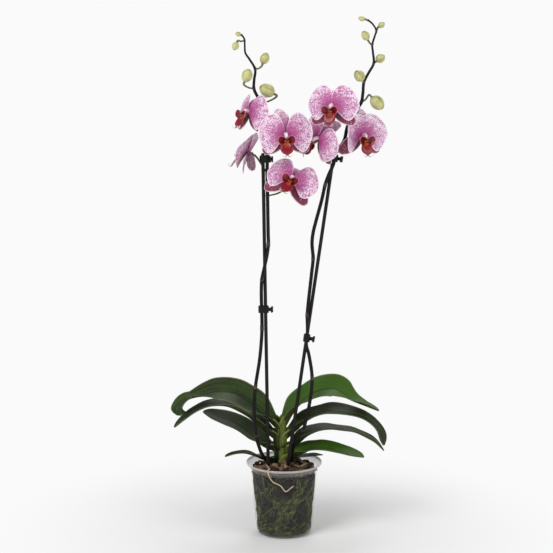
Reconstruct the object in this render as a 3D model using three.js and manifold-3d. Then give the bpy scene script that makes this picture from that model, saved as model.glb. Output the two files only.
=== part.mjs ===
// A potted moth orchid: a clear growing pot of bark and roots, a crown of nine leaves, and two flower spikes,
// each clipped to its stake, with seven open blooms and eleven buds.
// Millimetres, +Z up. The origin is the centre of the pot's underside, and the front is towards -Y.
import * as THREE from "three";
import { mergeVertices } from "three/addons/utils/BufferGeometryUtils.js";
import Module from "manifold-3d";

const wasm = await Module();
wasm.setup();

// The pot, a clear 12 cm orchid pot with a flared collar
const POT_HEIGHT = 116;
const RIM_RADIUS = 60;
const LIP_HEIGHT = 3.6;
const THROAT_RADIUS = 52.7;
const THROAT_HEIGHT = 101;
const BASE_RADIUS = 44.6;
const CORNER_HEIGHT = 8;
const WALL = 1.2;
const FLOOR_TOP = 4;
const FLOOR_RECESS = 2.5;
const FOOT_RADIUS = 38;
const FOOT_WIDTH = 2.5;
const BOSS_RADIUS = 14;
const DRAIN_HOLES = 8;
const DRAIN_RADIUS = 3;
const DRAIN_CIRCLE = 25;
const NOTCH_WIDTH = 5;
const NOTCH_HEIGHT = 2;
const NOTCH_TURN = 17.5;
const ROUND_SIDES = 30;

// The bark mix
const MIX_TOP = 104;
const MIX_SIDES = 20;
const MIX_RELIEF = 2.6;
const ROOT_ROOM = 6.2;
const CHIP_COUNT = 18;
const CHIP_SIZE = { long: 17, wide: 10, thick: 5 };
const MIX_SEED = 13;

// The gap between pieces that touch, and the finest detail that a union keeps
const GAP = 0.35;
const DETAIL = 0.2;

// The plant's stem, which the leaves, spikes and roots grow from
const CROWN_FOOT = [-5, 22, 102.5];
const CROWN_TIP = [-6.5, 22, 164];
const CROWN_RADIUS = 8.5;
const SHEATH_DROP = 15;
const SHEATH_RADIUS = 5;

// Roots, stakes, spikes and clips
const ROOT_RADIUS = 2.3;
const AERIAL_ROOT_RADIUS = 1.1;
const STAKE_RADIUS = 2.75;
const STAKE_PLANE = -6;
const SPIKE_RADIUS = 2.75;
const SPIKE_TIP_RADIUS = 1.3;
const SIDE_BY_SIDE = 6.1;
const PEDICEL_RADIUS = 1.4;
const CLIP_WALL = 1.5;
const CLIP_HEIGHT = 11;
const CLIP_TAB = 6;
const STAKE_TOP = 604;

// Blooms, for a flower 90 mm across that is scaled a little from one to the next
const PETAL = { length: 43, upper: 33, lower: 27, thick: 0.8 };
const DORSAL = { length: 41, half: 13.5, claw: 3, thick: 0.9 };
const LATERAL = { length: 45, half: 13, claw: 3, thick: 0.9, splay: 52, sweep: 14 };
const LIP = {
  outline: [[0, 20.5], [13, 19.3], [30, 17.5], [44, 14.5], [58, 10.5], [78, 13.2], [100, 16], [122, 15.5],
    [140, 12], [154, 7.5], [166, 4.5]],
  heart: [0, -7.5, -10],
  shield: 10,
  cup: 9.5,
  tendril: [[0, -17, -29.5], [3, -18.6, -32.8], [7, -21, -31.5], [7, -22.4, -28]],
};
const COLUMN_RADIUS = 3.4;
const HUB_DEPTH = 4;

const radians = THREE.MathUtils.degToRad;
const { lerp, smoothstep } = THREE.MathUtils;

// The same row of random numbers every time, from 0 to 1.
function seeded(seed) {
  let state = seed;
  return () => {
    state = (state * 16807) % 2147483647;
    return state / 2147483647;
  };
}

const vector = ([x, y, z]) => new THREE.Vector3(x, y, z);

// Solids

// A solid from shared vertices and triangles, turned right side out.
function closed(vertices, triangles) {
  const properties = { numProp: 3, vertProperties: new Float32Array(vertices) };
  const faces = Uint32Array.from(triangles);
  const made = new wasm.Manifold(new wasm.Mesh({ ...properties, triVerts: faces }));
  if (made.volume() > 0) return made;
  return new wasm.Manifold(new wasm.Mesh({ ...properties, triVerts: faces.reverse() }));
}

// A solid from a closed geometry.
function solid(geometry) {
  const bare = new THREE.BufferGeometry();
  bare.setAttribute("position", geometry.getAttribute("position"));
  bare.setIndex(geometry.index);
  const merged = mergeVertices(bare, 1e-4);
  const index = merged.index.array;
  const triangles = [];
  for (let i = 0; i < index.length; i += 3) {
    const [a, b, c] = index.subarray(i, i + 3);
    if (a !== b && b !== c && c !== a) triangles.push(a, b, c);
  }
  return closed(merged.getAttribute("position").array, triangles);
}

// The union of solids that grow from each other, without any crumb left loose.
function join(solids) {
  const bodies = wasm.Manifold.union(solids).asOriginal().simplify(DETAIL).decompose();
  return bodies.reduce((best, body) => (body.volume() > best.volume() ? body : best));
}

// The first solid with the others cut out of it, again as one body.
function carve(body, tools) {
  return join([body.subtract(wasm.Manifold.union(tools))]);
}

function geometryOf(made) {
  const { numProp, vertProperties, triVerts } = made.getMesh();
  const positions = new Float32Array((vertProperties.length / numProp) * 3);
  for (let i = 0; i < positions.length / 3; i++) {
    positions.set(vertProperties.subarray(i * numProp, i * numProp + 3), i * 3);
  }
  const geometry = new THREE.BufferGeometry();
  geometry.setAttribute("position", new THREE.BufferAttribute(positions, 3));
  geometry.setIndex(new THREE.BufferAttribute(triVerts, 1));
  geometry.computeVertexNormals();
  return geometry;
}

const curve = (points) => new THREE.CatmullRomCurve3(points.map(vector), false, "centripetal");

// A round stem along a curve, with rings spaced as the curve's own points are. Its radius follows t, which goes
// from 0 to 1.
function tube(path, radiusAt, sides, steps) {
  const vertices = [];
  const normal = new THREE.Vector3(...(Math.abs(path.getTangent(0).y) < 0.8 ? [0, 1, 0] : [1, 0, 0]));
  for (let k = 0; k <= steps; k++) {
    const along = path.getTangent(k / steps);
    normal.addScaledVector(along, -normal.dot(along)).normalize();
    const side = along.clone().cross(normal);
    const reach = radiusAt(k / steps);
    for (let i = 0; i < sides; i++) {
      const angle = (2 * Math.PI * i) / sides;
      const corner = path.getPoint(k / steps).addScaledVector(normal, reach * Math.cos(angle));
      vertices.push(...corner.addScaledVector(side, reach * Math.sin(angle)));
    }
  }
  const triangles = [];
  for (let i = 0; i < sides; i++) {
    for (let k = 0; k < steps; k++) {
      const [a, b] = [k * sides + i, k * sides + ((i + 1) % sides)];
      triangles.push(a, b, b + sides, a, b + sides, a + sides);
    }
  }
  const end = steps * sides;
  for (let i = 1; i < sides - 1; i++) triangles.push(0, i + 1, i, end, end + i, end + i + 1);
  return closed(vertices, triangles);
}

// A blade on the surface point(u, v), with u from 0 to 1 along it and v from -1 to 1 across it. Both faces
// are split into triangles alike, and an edge of the blade's own thickness joins them.
function blade(point, thickness, along, across) {
  const faces = [[], []];
  const step = 1e-3;
  for (let i = 0; i <= along; i++) {
    for (let j = 0; j <= across; j++) {
      const u = i / along;
      const v = (2 * j) / across - 1;
      const middle = point(u, v);
      const alongside = point(Math.min(1, u + step), v).sub(point(Math.max(0, u - step), v));
      const sideways = point(u, Math.min(1, v + step)).sub(point(u, Math.max(-1, v - step)));
      const normal = alongside.cross(sideways).normalize();
      const half = thickness(u, v) / 2;
      faces[0].push(...middle.clone().addScaledVector(normal, half));
      faces[1].push(...middle.clone().addScaledVector(normal, -half));
    }
  }
  const row = across + 1;
  const back = row * (along + 1);
  const triangles = [];
  for (let i = 0; i < along; i++) {
    for (let j = 0; j < across; j++) {
      const [a, b] = [i * row + j, (i + 1) * row + j];
      triangles.push(a, b, b + 1, a, b + 1, a + 1);
      triangles.push(back + a, back + b + 1, back + b, back + a, back + a + 1, back + b + 1);
    }
  }
  for (const [a, b] of bladeEdge(along, across)) {
    triangles.push(a, b, back + b, a, back + b, back + a);
  }
  return closed([...faces[0], ...faces[1]], triangles);
}

// The pairs of vertices round a blade's edge, in order.
function bladeEdge(along, across) {
  const row = across + 1;
  const loop = [];
  for (let j = 0; j < across; j++) loop.push(j);
  for (let i = 0; i < along; i++) loop.push(i * row + across);
  for (let j = across; j > 0; j--) loop.push(along * row + j);
  for (let i = along; i > 0; i--) loop.push(i * row);
  return loop.map((a, k) => [a, loop[(k + 1) % loop.length]]);
}

function part(name, made, colour, roughness, extra = {}) {
  const material = new THREE.MeshStandardMaterial({ color: colour, roughness, metalness: 0, ...extra });
  const mesh = new THREE.Mesh(geometryOf(made), material);
  mesh.name = name;
  return mesh;
}

function group(children) {
  const made = new THREE.Group();
  made.add(...children);
  return made;
}

// Pot

// The radius of the pot's inner face at a height.
function insideWall(z) {
  const share = (z - CORNER_HEIGHT) / (THROAT_HEIGHT - CORNER_HEIGHT);
  return lerp(BASE_RADIUS, THROAT_RADIUS, share) - WALL;
}

function pot() {
  const lip = POT_HEIGHT - LIP_HEIGHT;
  const outline = [
    [0, 0],
    [BOSS_RADIUS, 0],
    [BOSS_RADIUS + 2, FLOOR_RECESS],
    [FOOT_RADIUS - FOOT_WIDTH - 2, FLOOR_RECESS],
    [FOOT_RADIUS - FOOT_WIDTH, 0],
    [FOOT_RADIUS, 0],
    [lerp(FOOT_RADIUS, BASE_RADIUS, 0.66), 0.26 * CORNER_HEIGHT],
    [BASE_RADIUS, CORNER_HEIGHT],
    [THROAT_RADIUS, THROAT_HEIGHT],
    [THROAT_RADIUS + 1.6, THROAT_HEIGHT + 6],
    [RIM_RADIUS - 1.6, lip - 0.6],
    [RIM_RADIUS, lip],
    [RIM_RADIUS, POT_HEIGHT],
    [RIM_RADIUS - 1.6, POT_HEIGHT],
    [THROAT_RADIUS + 0.7, THROAT_HEIGHT + 7],
    [THROAT_RADIUS - WALL, THROAT_HEIGHT],
    [BASE_RADIUS - WALL, CORNER_HEIGHT],
    [lerp(FOOT_RADIUS, BASE_RADIUS, 0.3), FLOOR_TOP],
    [0, FLOOR_TOP],
  ];
  const profile = outline.map(([radius, z]) => new THREE.Vector2(radius, z));
  const body = solid(new THREE.LatheGeometry(profile, ROUND_SIDES).rotateX(Math.PI / 2));
  const openings = [];
  for (let i = 0; i < DRAIN_HOLES; i++) {
    const turn = (360 * i) / DRAIN_HOLES;
    const hole = new THREE.CylinderGeometry(DRAIN_RADIUS, DRAIN_RADIUS, 4 * FLOOR_TOP, 6);
    const notch = new THREE.BoxGeometry(NOTCH_WIDTH, 4 * FOOT_WIDTH, 2 * NOTCH_HEIGHT);
    hole.rotateX(Math.PI / 2).translate(0, -DRAIN_CIRCLE, 0).rotateZ(radians(turn));
    notch.translate(0, -FOOT_RADIUS - FOOT_WIDTH, 0).rotateZ(radians(turn + NOTCH_TURN));
    openings.push(solid(hole), solid(notch));
  }
  return part("pot", carve(body, openings), 0xb9b7b4, 0.2, { transparent: true, opacity: 0.35 });
}

// Roots

// Each root leaves the stem over the mix, then runs down the pot's wall. Over the mix its points are places.
// On the wall they are an angle, from the front towards the right, and a height.
const ROOTS = [
  {
    over: [[-8, 9, 105], [-9, 1, 107], [-14, -10, 108], [-20, -24, 105]],
    wall: [[-31, 88], [-24, 62], [-9, 50]],
  },
  {
    over: [[4, 10, 105], [13, 2, 107], [17, -14, 107]],
    wall: [[32, 88], [17, 72], [5, 56], [-9, 36], [-20, 22]],
  },
  {
    over: [[10, 14, 105], [18, -1, 108], [24, -12, 109], [36, 5, 110]],
    wall: [[112, 99], [104, 70], [84, 40]],
  },
  {
    over: [[-17, 14, 105], [-27, 6, 107], [-36, -10, 107]],
    wall: [[-76, 94], [-56, 76], [-34, 66], [-20, 58]],
  },
  {
    over: [[-16, 31, 104], [-26, 38, 104]],
    wall: [[-138, 92], [-112, 66], [-88, 40], [-60, 18]],
  },
  {
    over: [[4, 32, 104], [12, 40, 104]],
    wall: [[160, 92], [186, 62], [214, 36], [240, 16]],
  },
  {
    over: [[10, 24, 105], [24, 24, 107], [36, 18, 106]],
    wall: [[92, 90], [66, 74], [40, 62], [20, 58], [8, 26]],
  },
];

const HUB = [CROWN_FOOT[0], CROWN_FOOT[1], CROWN_FOOT[2] - CROWN_RADIUS - 2 * GAP];

function rootPath({ over, wall }) {
  const down = wall.map(([angle, z]) => {
    const radius = insideWall(z) - 1.15 * ROOT_RADIUS - 3 * GAP;
    return [radius * Math.sin(radians(angle)), -radius * Math.cos(radians(angle)), z];
  });
  return curve([HUB, ...over, ...down]);
}

function rootTubes(extra) {
  const taper = (t) => lerp(1.15, 0.62, t) * ROOT_RADIUS + extra;
  return ROOTS.map((root) => tube(rootPath(root), taper, 5, root.over.length + root.wall.length + 5));
}

function hub(extra) {
  const stump = new THREE.SphereGeometry(CROWN_RADIUS + extra, 8, 5);
  return solid(stump.rotateX(Math.PI / 2).translate(...HUB));
}

function roots() {
  return part("roots", carve(join([hub(0), ...rootTubes(0)]), [crownCore(1.5 * GAP)]), 0x7d8a5a, 0.6);
}

// A thin pale root that lies on the mix, climbs over the rim and hangs down the pot's outside.
function aerialRoot() {
  const on = (radius, angle, z) => [radius * Math.sin(radians(angle)), -radius * Math.cos(radians(angle)), z];
  const clear = AERIAL_ROOT_RADIUS + GAP;
  const outside = (angle, z) => on(insideWall(z) + WALL + clear + 0.4, angle, z);
  const path = curve([
    [-28, -15, 113.4],
    on(48, -28, 114.4),
    on(RIM_RADIUS - 1, -25, POT_HEIGHT + clear + 0.5),
    on(RIM_RADIUS + clear + 0.4, -24, POT_HEIGHT - 2),
    on(RIM_RADIUS - 1, -22.5, 105),
    outside(-18.8, 96.5),
    outside(-10.4, 93.4),
    outside(-4.8, 90),
    outside(0.1, 83.4),
    outside(3.5, 82),
    outside(9.2, 86),
    outside(14.8, 89.8),
  ]);
  const taper = (t) => lerp(1, 0.6, t) * AERIAL_ROOT_RADIUS;
  return part("aerial_root", tube(path, taper, 4, 22), 0xd8cbb0, 0.6);
}

// Bark mix

// The mix's own body: rings of the pot's inside, each pulled in unevenly as packed bark is.
function mixBody(random) {
  const rough = (z) => insideWall(z) - ROOT_ROOM - MIX_RELIEF * random();
  const levels = [CORNER_HEIGHT + 1, 27, 46, 65, 84];
  const rings = [() => [FOOT_RADIUS - 1 - random(), FLOOR_TOP + GAP]];
  levels.forEach((z) => rings.push(() => [rough(z), z + 2 * random()]));
  rings.push(() => [rough(MIX_TOP), MIX_TOP - 2 * random()]);
  rings.push(() => [36, MIX_TOP + 4 * random() - 2]);
  rings.push(() => [17, MIX_TOP + 4 * random() - 2]);
  const vertices = [0, 0, FLOOR_TOP + GAP, 0, 0, MIX_TOP];
  rings.forEach((ring) => {
    for (let i = 0; i < MIX_SIDES; i++) {
      const [radius, z] = ring();
      const angle = (2 * Math.PI * i) / MIX_SIDES;
      vertices.push(radius * Math.cos(angle), radius * Math.sin(angle), z);
    }
  });
  const at = (ring, i) => 2 + ring * MIX_SIDES + (i % MIX_SIDES);
  const last = rings.length - 1;
  const triangles = [];
  for (let i = 0; i < MIX_SIDES; i++) {
    triangles.push(0, at(0, i + 1), at(0, i), 1, at(last, i), at(last, i + 1));
    for (let k = 0; k < last; k++) {
      triangles.push(at(k, i), at(k, i + 1), at(k + 1, i + 1), at(k, i), at(k + 1, i + 1), at(k + 1, i));
    }
  }
  return closed(vertices, triangles);
}

// Loose chips of bark, half sunk in the top of the mix.
function barkChips(random) {
  const chips = [];
  for (let i = 0; i < CHIP_COUNT; i++) {
    const size = 0.7 + 0.6 * random();
    const chip = new THREE.BoxGeometry(CHIP_SIZE.long * size, CHIP_SIZE.wide * size, CHIP_SIZE.thick);
    const reach = 38 * Math.sqrt(random());
    const angle = 2 * Math.PI * random();
    chip.rotateX(radians(50 * random() - 25)).rotateY(radians(44 * random() - 22));
    chip.rotateZ(Math.PI * random());
    chip.translate(reach * Math.cos(angle), reach * Math.sin(angle), MIX_TOP + 1 + 2 * random());
    chips.push(solid(chip));
  }
  return chips;
}

// The funnel in the mix that the stem stands in.
function stemHole() {
  const height = 2 * CROWN_RADIUS;
  const [x, y, z] = CROWN_FOOT;
  const hole = new THREE.CylinderGeometry(2.2 * CROWN_RADIUS, CROWN_RADIUS + 3, height, 10);
  return solid(hole.rotateX(Math.PI / 2).translate(x, y, z + height / 2 - GAP));
}

function barkMix() {
  const random = seeded(MIX_SEED);
  const filled = join([mixBody(random), ...barkChips(random)]);
  const resting = [LEAVES.leaf_left_4, LEAVES.leaf_right_5];
  const holes = [stemHole(), hub(GAP), ...rootTubes(GAP), ...resting.map((leaf) => leafSolid(leaf, GAP))];
  Object.values(STAKES).forEach((ends) => holes.push(stakeSolid(ends, STAKE_RADIUS + GAP, GAP)));
  Object.values(SPIKES).forEach(({ path }) => holes.push(spikeStem(path, 2 * GAP)));
  return part("bark_mix", carve(filled, holes), 0x4a372b, 0.9);
}

// Crown and leaves

// Each leaf's spine runs from the stem to the tip. The roll leans the blade towards the front, in degrees at
// even steps from the stem to the tip. The hand is 1 on the right and -1 on the left.
const LEAVES = {
  leaf_left_1: {
    hand: -1,
    width: 62,
    roll: [14, 32, 34, 24, -6, 25],
    spine: [[-13, 22, 165], [-36, 24, 188], [-56, 23, 206], [-76, 20, 219], [-96, 17, 224], [-116, 13, 223],
      [-136, 9, 219], [-154, 5, 214], [-165, 2, 204], [-167, 0, 190]],
  },
  leaf_left_2: {
    hand: -1,
    width: 52,
    roll: [8, 4, 0, -6, -8],
    spine: [[-14, 21, 146], [-36, 23, 164], [-55, 21, 182], [-72, 15, 194], [-89, 9, 203], [-106, 3, 206],
      [-122, -3, 205], [-140, -9, 198], [-157, -15, 187], [-172, -20, 176]],
  },
  leaf_left_3: {
    hand: -1,
    width: 54,
    roll: [4, 8, 12, 10],
    spine: [[-14, 23, 126], [-34, 26, 134], [-50, 30, 147], [-72, 36, 162], [-95, 42, 172], [-114, 47, 177],
      [-131, 51, 183]],
  },
  leaf_left_4: {
    hand: -1,
    width: 22,
    roll: [0, 0],
    spine: [[-14, 24, 111], [-30, 18, 113], [-44, 10, 121], [-60, 2, 128], [-76, -6, 130], [-93, -14, 127]],
  },
  leaf_right_1: {
    hand: 1,
    width: 62,
    roll: [0, 6, 14, 22, 26, 0, -12, -12],
    spine: [[2, 23, 167], [14, 25, 188], [28, 27, 205], [46, 27, 219], [65, 25, 226], [82, 22, 227], [96, 17, 220],
      [110, 12, 211], [128, 5, 205], [149, -2, 198]],
  },
  leaf_right_2: {
    hand: 1,
    width: 54,
    roll: [8, 12, 10, 2, -4, -4],
    spine: [[3, 22, 146], [20, 24, 161], [36, 23, 176], [52, 18, 186], [68, 12, 192], [84, 6, 193], [102, 0, 192],
      [120, -6, 189], [135, -11, 182], [148, -16, 169], [156, -21, 147]],
  },
  leaf_right_3: {
    hand: 1,
    width: 48,
    roll: [8, -2, -6, -4, 4],
    spine: [[4, 24, 124], [20, 27, 135], [37, 31, 149], [54, 35, 156], [74, 39, 158], [93, 43, 155],
      [114, 46, 151], [132, 49, 142], [148, 51, 132], [162, 53, 118]],
  },
  leaf_right_4: {
    hand: 1,
    width: 50,
    roll: [10, 8, 2, 0],
    spine: [[5, 20, 112], [22, 18, 120], [38, 14, 129], [54, 7, 134], [72, 0, 135], [91, -8, 132], [108, -15, 129],
      [125, -22, 128]],
  },
  leaf_right_5: {
    hand: 1,
    width: 18,
    roll: [0, 0],
    spine: [[3, 29, 110], [26, 31, 114], [44, 28, 116.5], [62, 24, 119]],
  },
};

// A leaf's outline: a narrow clasping base, full width by the middle, and a round tip.
function leafHalfWidth(leaf, u) {
  const base = lerp(0.3, 1, smoothstep(u, 0, 0.3));
  const tip = Math.max(0.05, (1 - u ** 5) ** 0.55);
  return 0.5 * leaf.width * base * tip;
}

// The directions at a place on the spine: forward along it, to the front across it, and up from its face.
function leafFrame(leaf, spine, u) {
  const forward = spine.getTangentAt(u);
  const front = new THREE.Vector3(forward.y, -forward.x, 0).multiplyScalar(leaf.hand).normalize();
  const up = front.clone().cross(forward).multiplyScalar(leaf.hand);
  const stretch = Math.min(u * (leaf.roll.length - 1), leaf.roll.length - 1.001);
  const place = Math.floor(stretch);
  const roll = radians(lerp(leaf.roll[place], leaf.roll[place + 1], stretch - place));
  const across = front.clone().multiplyScalar(Math.cos(roll)).addScaledVector(up, -Math.sin(roll));
  const face = up.clone().multiplyScalar(Math.cos(roll)).addScaledVector(front, Math.sin(roll));
  return { forward, across, face };
}

// A leaf's blade, or the room that it takes when there is something extra round it.
function leafSolid(leaf, extra) {
  const spine = curve(leaf.spine);
  const point = (u, v) => {
    const { forward, across, face } = leafFrame(leaf, spine, u);
    const half = leafHalfWidth(leaf, u) + extra;
    const fold = radians(lerp(60, 12, smoothstep(u, 0, 0.35)));
    return spine
      .getPointAt(u)
      .addScaledVector(forward, u > 0 ? 0 : -2 * extra)
      .addScaledVector(across, v * half * Math.cos(fold))
      .addScaledVector(face, Math.abs(v) ** 1.3 * half * Math.sin(fold));
  };
  const thickness = (u, v) => lerp(2.4, 1.3, Math.abs(v)) * lerp(1, 0.7, u) + 2 * extra;
  return blade(point, thickness, 10, 4);
}

function leafPart([name, leaf]) {
  return part(name, leafSolid(leaf, 0), 0x35562a, 0.35);
}

// The stem that everything else grows from, or the room it takes with something extra round it.
function crownCore(extra) {
  const [foot, tip] = [vector(CROWN_FOOT), vector(CROWN_TIP)];
  foot.z -= extra;
  return tube(new THREE.LineCurve3(foot, tip), (t) => CROWN_RADIUS * lerp(1, 0.85, t) + extra, 8, 1);
}

// The clasping sheath that carries a leaf, from the middle of the stem out to the blade.
function sheath(leaf) {
  const spine = curve(leaf.spine);
  const { forward, face } = leafFrame(leaf, spine, 0);
  const end = spine.getPointAt(0).addScaledVector(forward, -GAP).addScaledVector(face, 2);
  const inner = Math.max(0, (end.z - SHEATH_DROP - CROWN_FOOT[2]) / (CROWN_TIP[2] - CROWN_FOOT[2]));
  const start = vector(CROWN_FOOT).lerp(vector(CROWN_TIP), inner);
  start.z = Math.max(start.z, CROWN_FOOT[2] + SHEATH_RADIUS);
  const size = leaf.width < 30 ? 0.6 : 1;
  return tube(new THREE.LineCurve3(start, end), (t) => size * SHEATH_RADIUS * lerp(1.3, 1, t), 7, 1);
}

function crown() {
  const leaves = Object.values(LEAVES);
  const grown = join([crownCore(0), ...leaves.map(sheath)]);
  const sockets = leaves.map((leaf) => leafSolid(leaf, 1.5 * GAP));
  Object.values(SPIKES).forEach(({ path }) => sockets.push(spikeStem(path, 1.5 * GAP)));
  return part("crown", carve(grown, sockets), 0x76883c, 0.45);
}

// Stakes and clips

const STAKES = {
  left: [[-23.5, STAKE_PLANE, 9], [-33, STAKE_PLANE, STAKE_TOP]],
  right: [[-8.5, STAKE_PLANE, 9], [75.8, STAKE_PLANE, STAKE_TOP]],
};

// The middle of a stake at a height.
function onStake(side, z) {
  const [foot, head] = STAKES[side].map(vector);
  return foot.clone().lerp(head, (z - foot.z) / (head.z - foot.z));
}

function stakeSolid(ends, radius, longer) {
  const [foot, head] = ends.map(vector);
  foot.z -= longer;
  return tube(new THREE.LineCurve3(foot, head), () => radius, 10, 1);
}

function stake(side) {
  return part("stake_" + side, stakeSolid(STAKES[side], STAKE_RADIUS, 0), 0x14120f, 0.45);
}

// Where each clip sits, which side of the stake the spike is on there, in degrees from the right, and which
// way the clip's two pinch tabs point.
const CLIPS = {
  clip_left_low: { side: "left", z: 362, spikeAt: 180, tabs: -12 },
  clip_left_high: { side: "left", z: 596, spikeAt: 0, tabs: -40 },
  clip_right_low: { side: "right", z: 317, spikeAt: -90, tabs: -15 },
  clip_right_high: { side: "right", z: 598, spikeAt: -70, tabs: -25 },
};

// The clip's ring, an oval that holds the stake and the spike side by side.
function clipRing(inner) {
  const oval = (radius) => {
    const shape = new THREE.Shape();
    shape.absarc(SIDE_BY_SIDE, 0, radius, -Math.PI / 2, Math.PI / 2);
    shape.absarc(0, 0, radius, Math.PI / 2, 1.5 * Math.PI);
    return shape;
  };
  const ring = oval(inner + CLIP_WALL);
  ring.holes.push(oval(inner));
  const band = new THREE.ExtrudeGeometry(ring, { depth: CLIP_HEIGHT, bevelEnabled: false, curveSegments: 4 });
  return band.translate(0, 0, -CLIP_HEIGHT / 2);
}

// A ring round the stake and the spike, with two short tabs that end in a flared grip.
function clip(name) {
  const { side, z, spikeAt, tabs } = CLIPS[name];
  const inner = Math.max(STAKE_RADIUS, SPIKE_RADIUS) + 3 * GAP;
  const towards = radians(spikeAt);
  const halfway = [Math.cos(towards), Math.sin(towards)].map((share) => (share * SIDE_BY_SIDE) / 2);
  const pieces = [solid(clipRing(inner).rotateZ(towards))];
  const slant = Math.abs(Math.cos(towards - radians(tabs)));
  const reach = inner + 0.5 * CLIP_WALL + 0.5 * SIDE_BY_SIDE * slant;
  for (const hand of [-1, 1]) {
    const neck = new THREE.BoxGeometry(CLIP_TAB + 1, 1.3, 0.45 * CLIP_HEIGHT);
    const grip = new THREE.BoxGeometry(2.6, 1.8, 0.85 * CLIP_HEIGHT);
    neck.translate(reach + CLIP_TAB / 2 - 0.5, 0, 0);
    grip.translate(reach + CLIP_TAB, 0, 0);
    for (const piece of [neck, grip]) {
      piece.translate(0, hand * 1.5, 0).rotateZ(radians(tabs + 4 * hand)).translate(...halfway, 0);
      pieces.push(solid(piece));
    }
  }
  const mesh = part(name, join(pieces), 0x101010, 0.4);
  const [foot, head] = STAKES[side].map(vector);
  mesh.position.copy(onStake(side, z));
  mesh.rotation.y = Math.atan2(head.x - foot.x, head.z - foot.z);
  return mesh;
}

// Flower spikes

// A place beside the stake: its height, and the side of the stake in degrees from the right.
const beside = (side, z, angle, distance = SIDE_BY_SIDE) => {
  const middle = onStake(side, z);
  return [middle.x + distance * Math.cos(radians(angle)), middle.y + distance * Math.sin(radians(angle)), z];
};

// Each spike leaves the stem low down, passes behind its stake and is clipped to it twice. The nodes are the
// heights of the bare joints on its stem.
const SPIKES = {
  left: {
    path: [[-9, 16.5, 108], [-14, 11.5, 110], [-24, 3, 113], [-34, -3, 126], [-40, -6, 142], [-44.5, -8, 160],
      [-47.3, -9.5, 194], [-46.5, -9, 215], [-45.2, -8, 238], [-38.8, -6, 280], [-36, -6, 308],
      beside("left", 332, 180), beside("left", 392, 180), beside("left", 410, 222, 6.4), beside("left", 428, 262, 6.4),
      beside("left", 446, 302, 6.4), beside("left", 464, 342, 6.4), beside("left", 482, 360), beside("left", 510, 360),
      beside("left", 540, 360), beside("left", 574, 360), beside("left", 605, 360, 6.5), [-30.5, 0, 640],
      [-32.5, 6, 665], [-38, 10, 684], [-46.5, 10, 702], [-46.4, 8, 715], [-44.7, 6, 732], [-53, 3, 747],
      [-59.5, 2, 757], [-60.4, 2, 769], [-61, 2, 778], [-65, 2, 784]],
    nodes: [160, 238, 332, 410, 464],
  },
  right: {
    path: [[-1, 16.5, 108], [4, 11.5, 111], [12, 6, 116], [13, 0.5, 130], [16, -3, 144], [23, -6.5, 157],
      [30, -8.5, 169], [35.5, -9.5, 191], [40, -9.5, 213], [43.8, -8, 252], [38.6, -10, 290],
      beside("right", 308, -86), beside("right", 327, -94), [35.8, -11, 353], [37.2, -9.6, 371],
      [42.3, -7.5, 418], [44.6, -6, 442], [42.9, -6, 466], [44.5, -6, 482], [48.3, -6, 498], [57.6, -6, 533],
      beside("right", 558, 196, 6.4), beside("right", 573, 240, 6.4), beside("right", 588, 282, 6.4),
      beside("right", 606, 296, 6.4), [84, -14, 614], [91.2, -13, 625], [96, -12, 645], [103, -12, 660],
      [112, -12, 675], [117, -12, 683], [119.2, -12, 697], [120.6, -12, 713], [127.5, -12, 727],
      [135, -12, 741], [133.8, -12, 758], [132.7, -12, 769], [136.6, -12, 783], [138.5, -12, 790],
      [133, -12, 800], [126, -12, 806]],
    nodes: [169, 252, 353, 442, 556],
  },
};

const stemSteps = (points) => 2 * (points.length - 1);

function spikeStem(points, extra) {
  const taper = (t) => lerp(SPIKE_RADIUS, SPIKE_TIP_RADIUS, smoothstep(t, 0.66, 1)) + extra;
  return tube(curve(points), taper, 5, stemSteps(points));
}

// The ring of a stem's middle that is nearest to a height, with the stem's direction there.
function atHeight(points, z) {
  const path = curve(points);
  const steps = stemSteps(points);
  const rings = path.getPoints(steps);
  const misses = rings.map((ring) => Math.abs(ring.z - z));
  const nearest = misses.indexOf(Math.min(...misses));
  return { place: rings[nearest], along: path.getTangent(nearest / steps) };
}

// The dry bract round a bare joint.
function bract(points, z) {
  const { place, along } = atHeight(points, z);
  const ring = new THREE.CylinderGeometry(SPIKE_RADIUS + 0.3, SPIKE_RADIUS + 0.1, 6, 6);
  ring.applyQuaternion(new THREE.Quaternion().setFromUnitVectors(new THREE.Vector3(0, 1, 0), along));
  return solid(ring.translate(place.x, place.y, place.z));
}

// A flower stalk from the spike to the back of a bloom or bud, arriving along the way that one faces.
function pedicel(points, { node, facing, end, lead, bow = [0, 0, 0] }) {
  const { place } = atHeight(points, node);
  const before = end.clone().addScaledVector(facing, -lead);
  const middle = place.clone().lerp(before, 0.5);
  middle.z -= 0.12 * place.distanceTo(before);
  middle.add(vector(bow));
  const stalk = new THREE.CatmullRomCurve3([place, middle, before, end], false, "centripetal");
  return tube(stalk, (t) => PEDICEL_RADIUS * lerp(1, 1.25, t), 4, 4);
}

function spike(side, stalks) {
  const { path, nodes } = SPIKES[side];
  const joints = nodes.map((z) => bract(path, z));
  const made = join([spikeStem(path, 0), ...joints, ...stalks.map((stalk) => pedicel(path, stalk))]);
  return part("spike_" + side, made, 0x2c2118, 0.45);
}

// Blooms, modelled facing the front (-Y), with the column's foot at the origin

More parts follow.
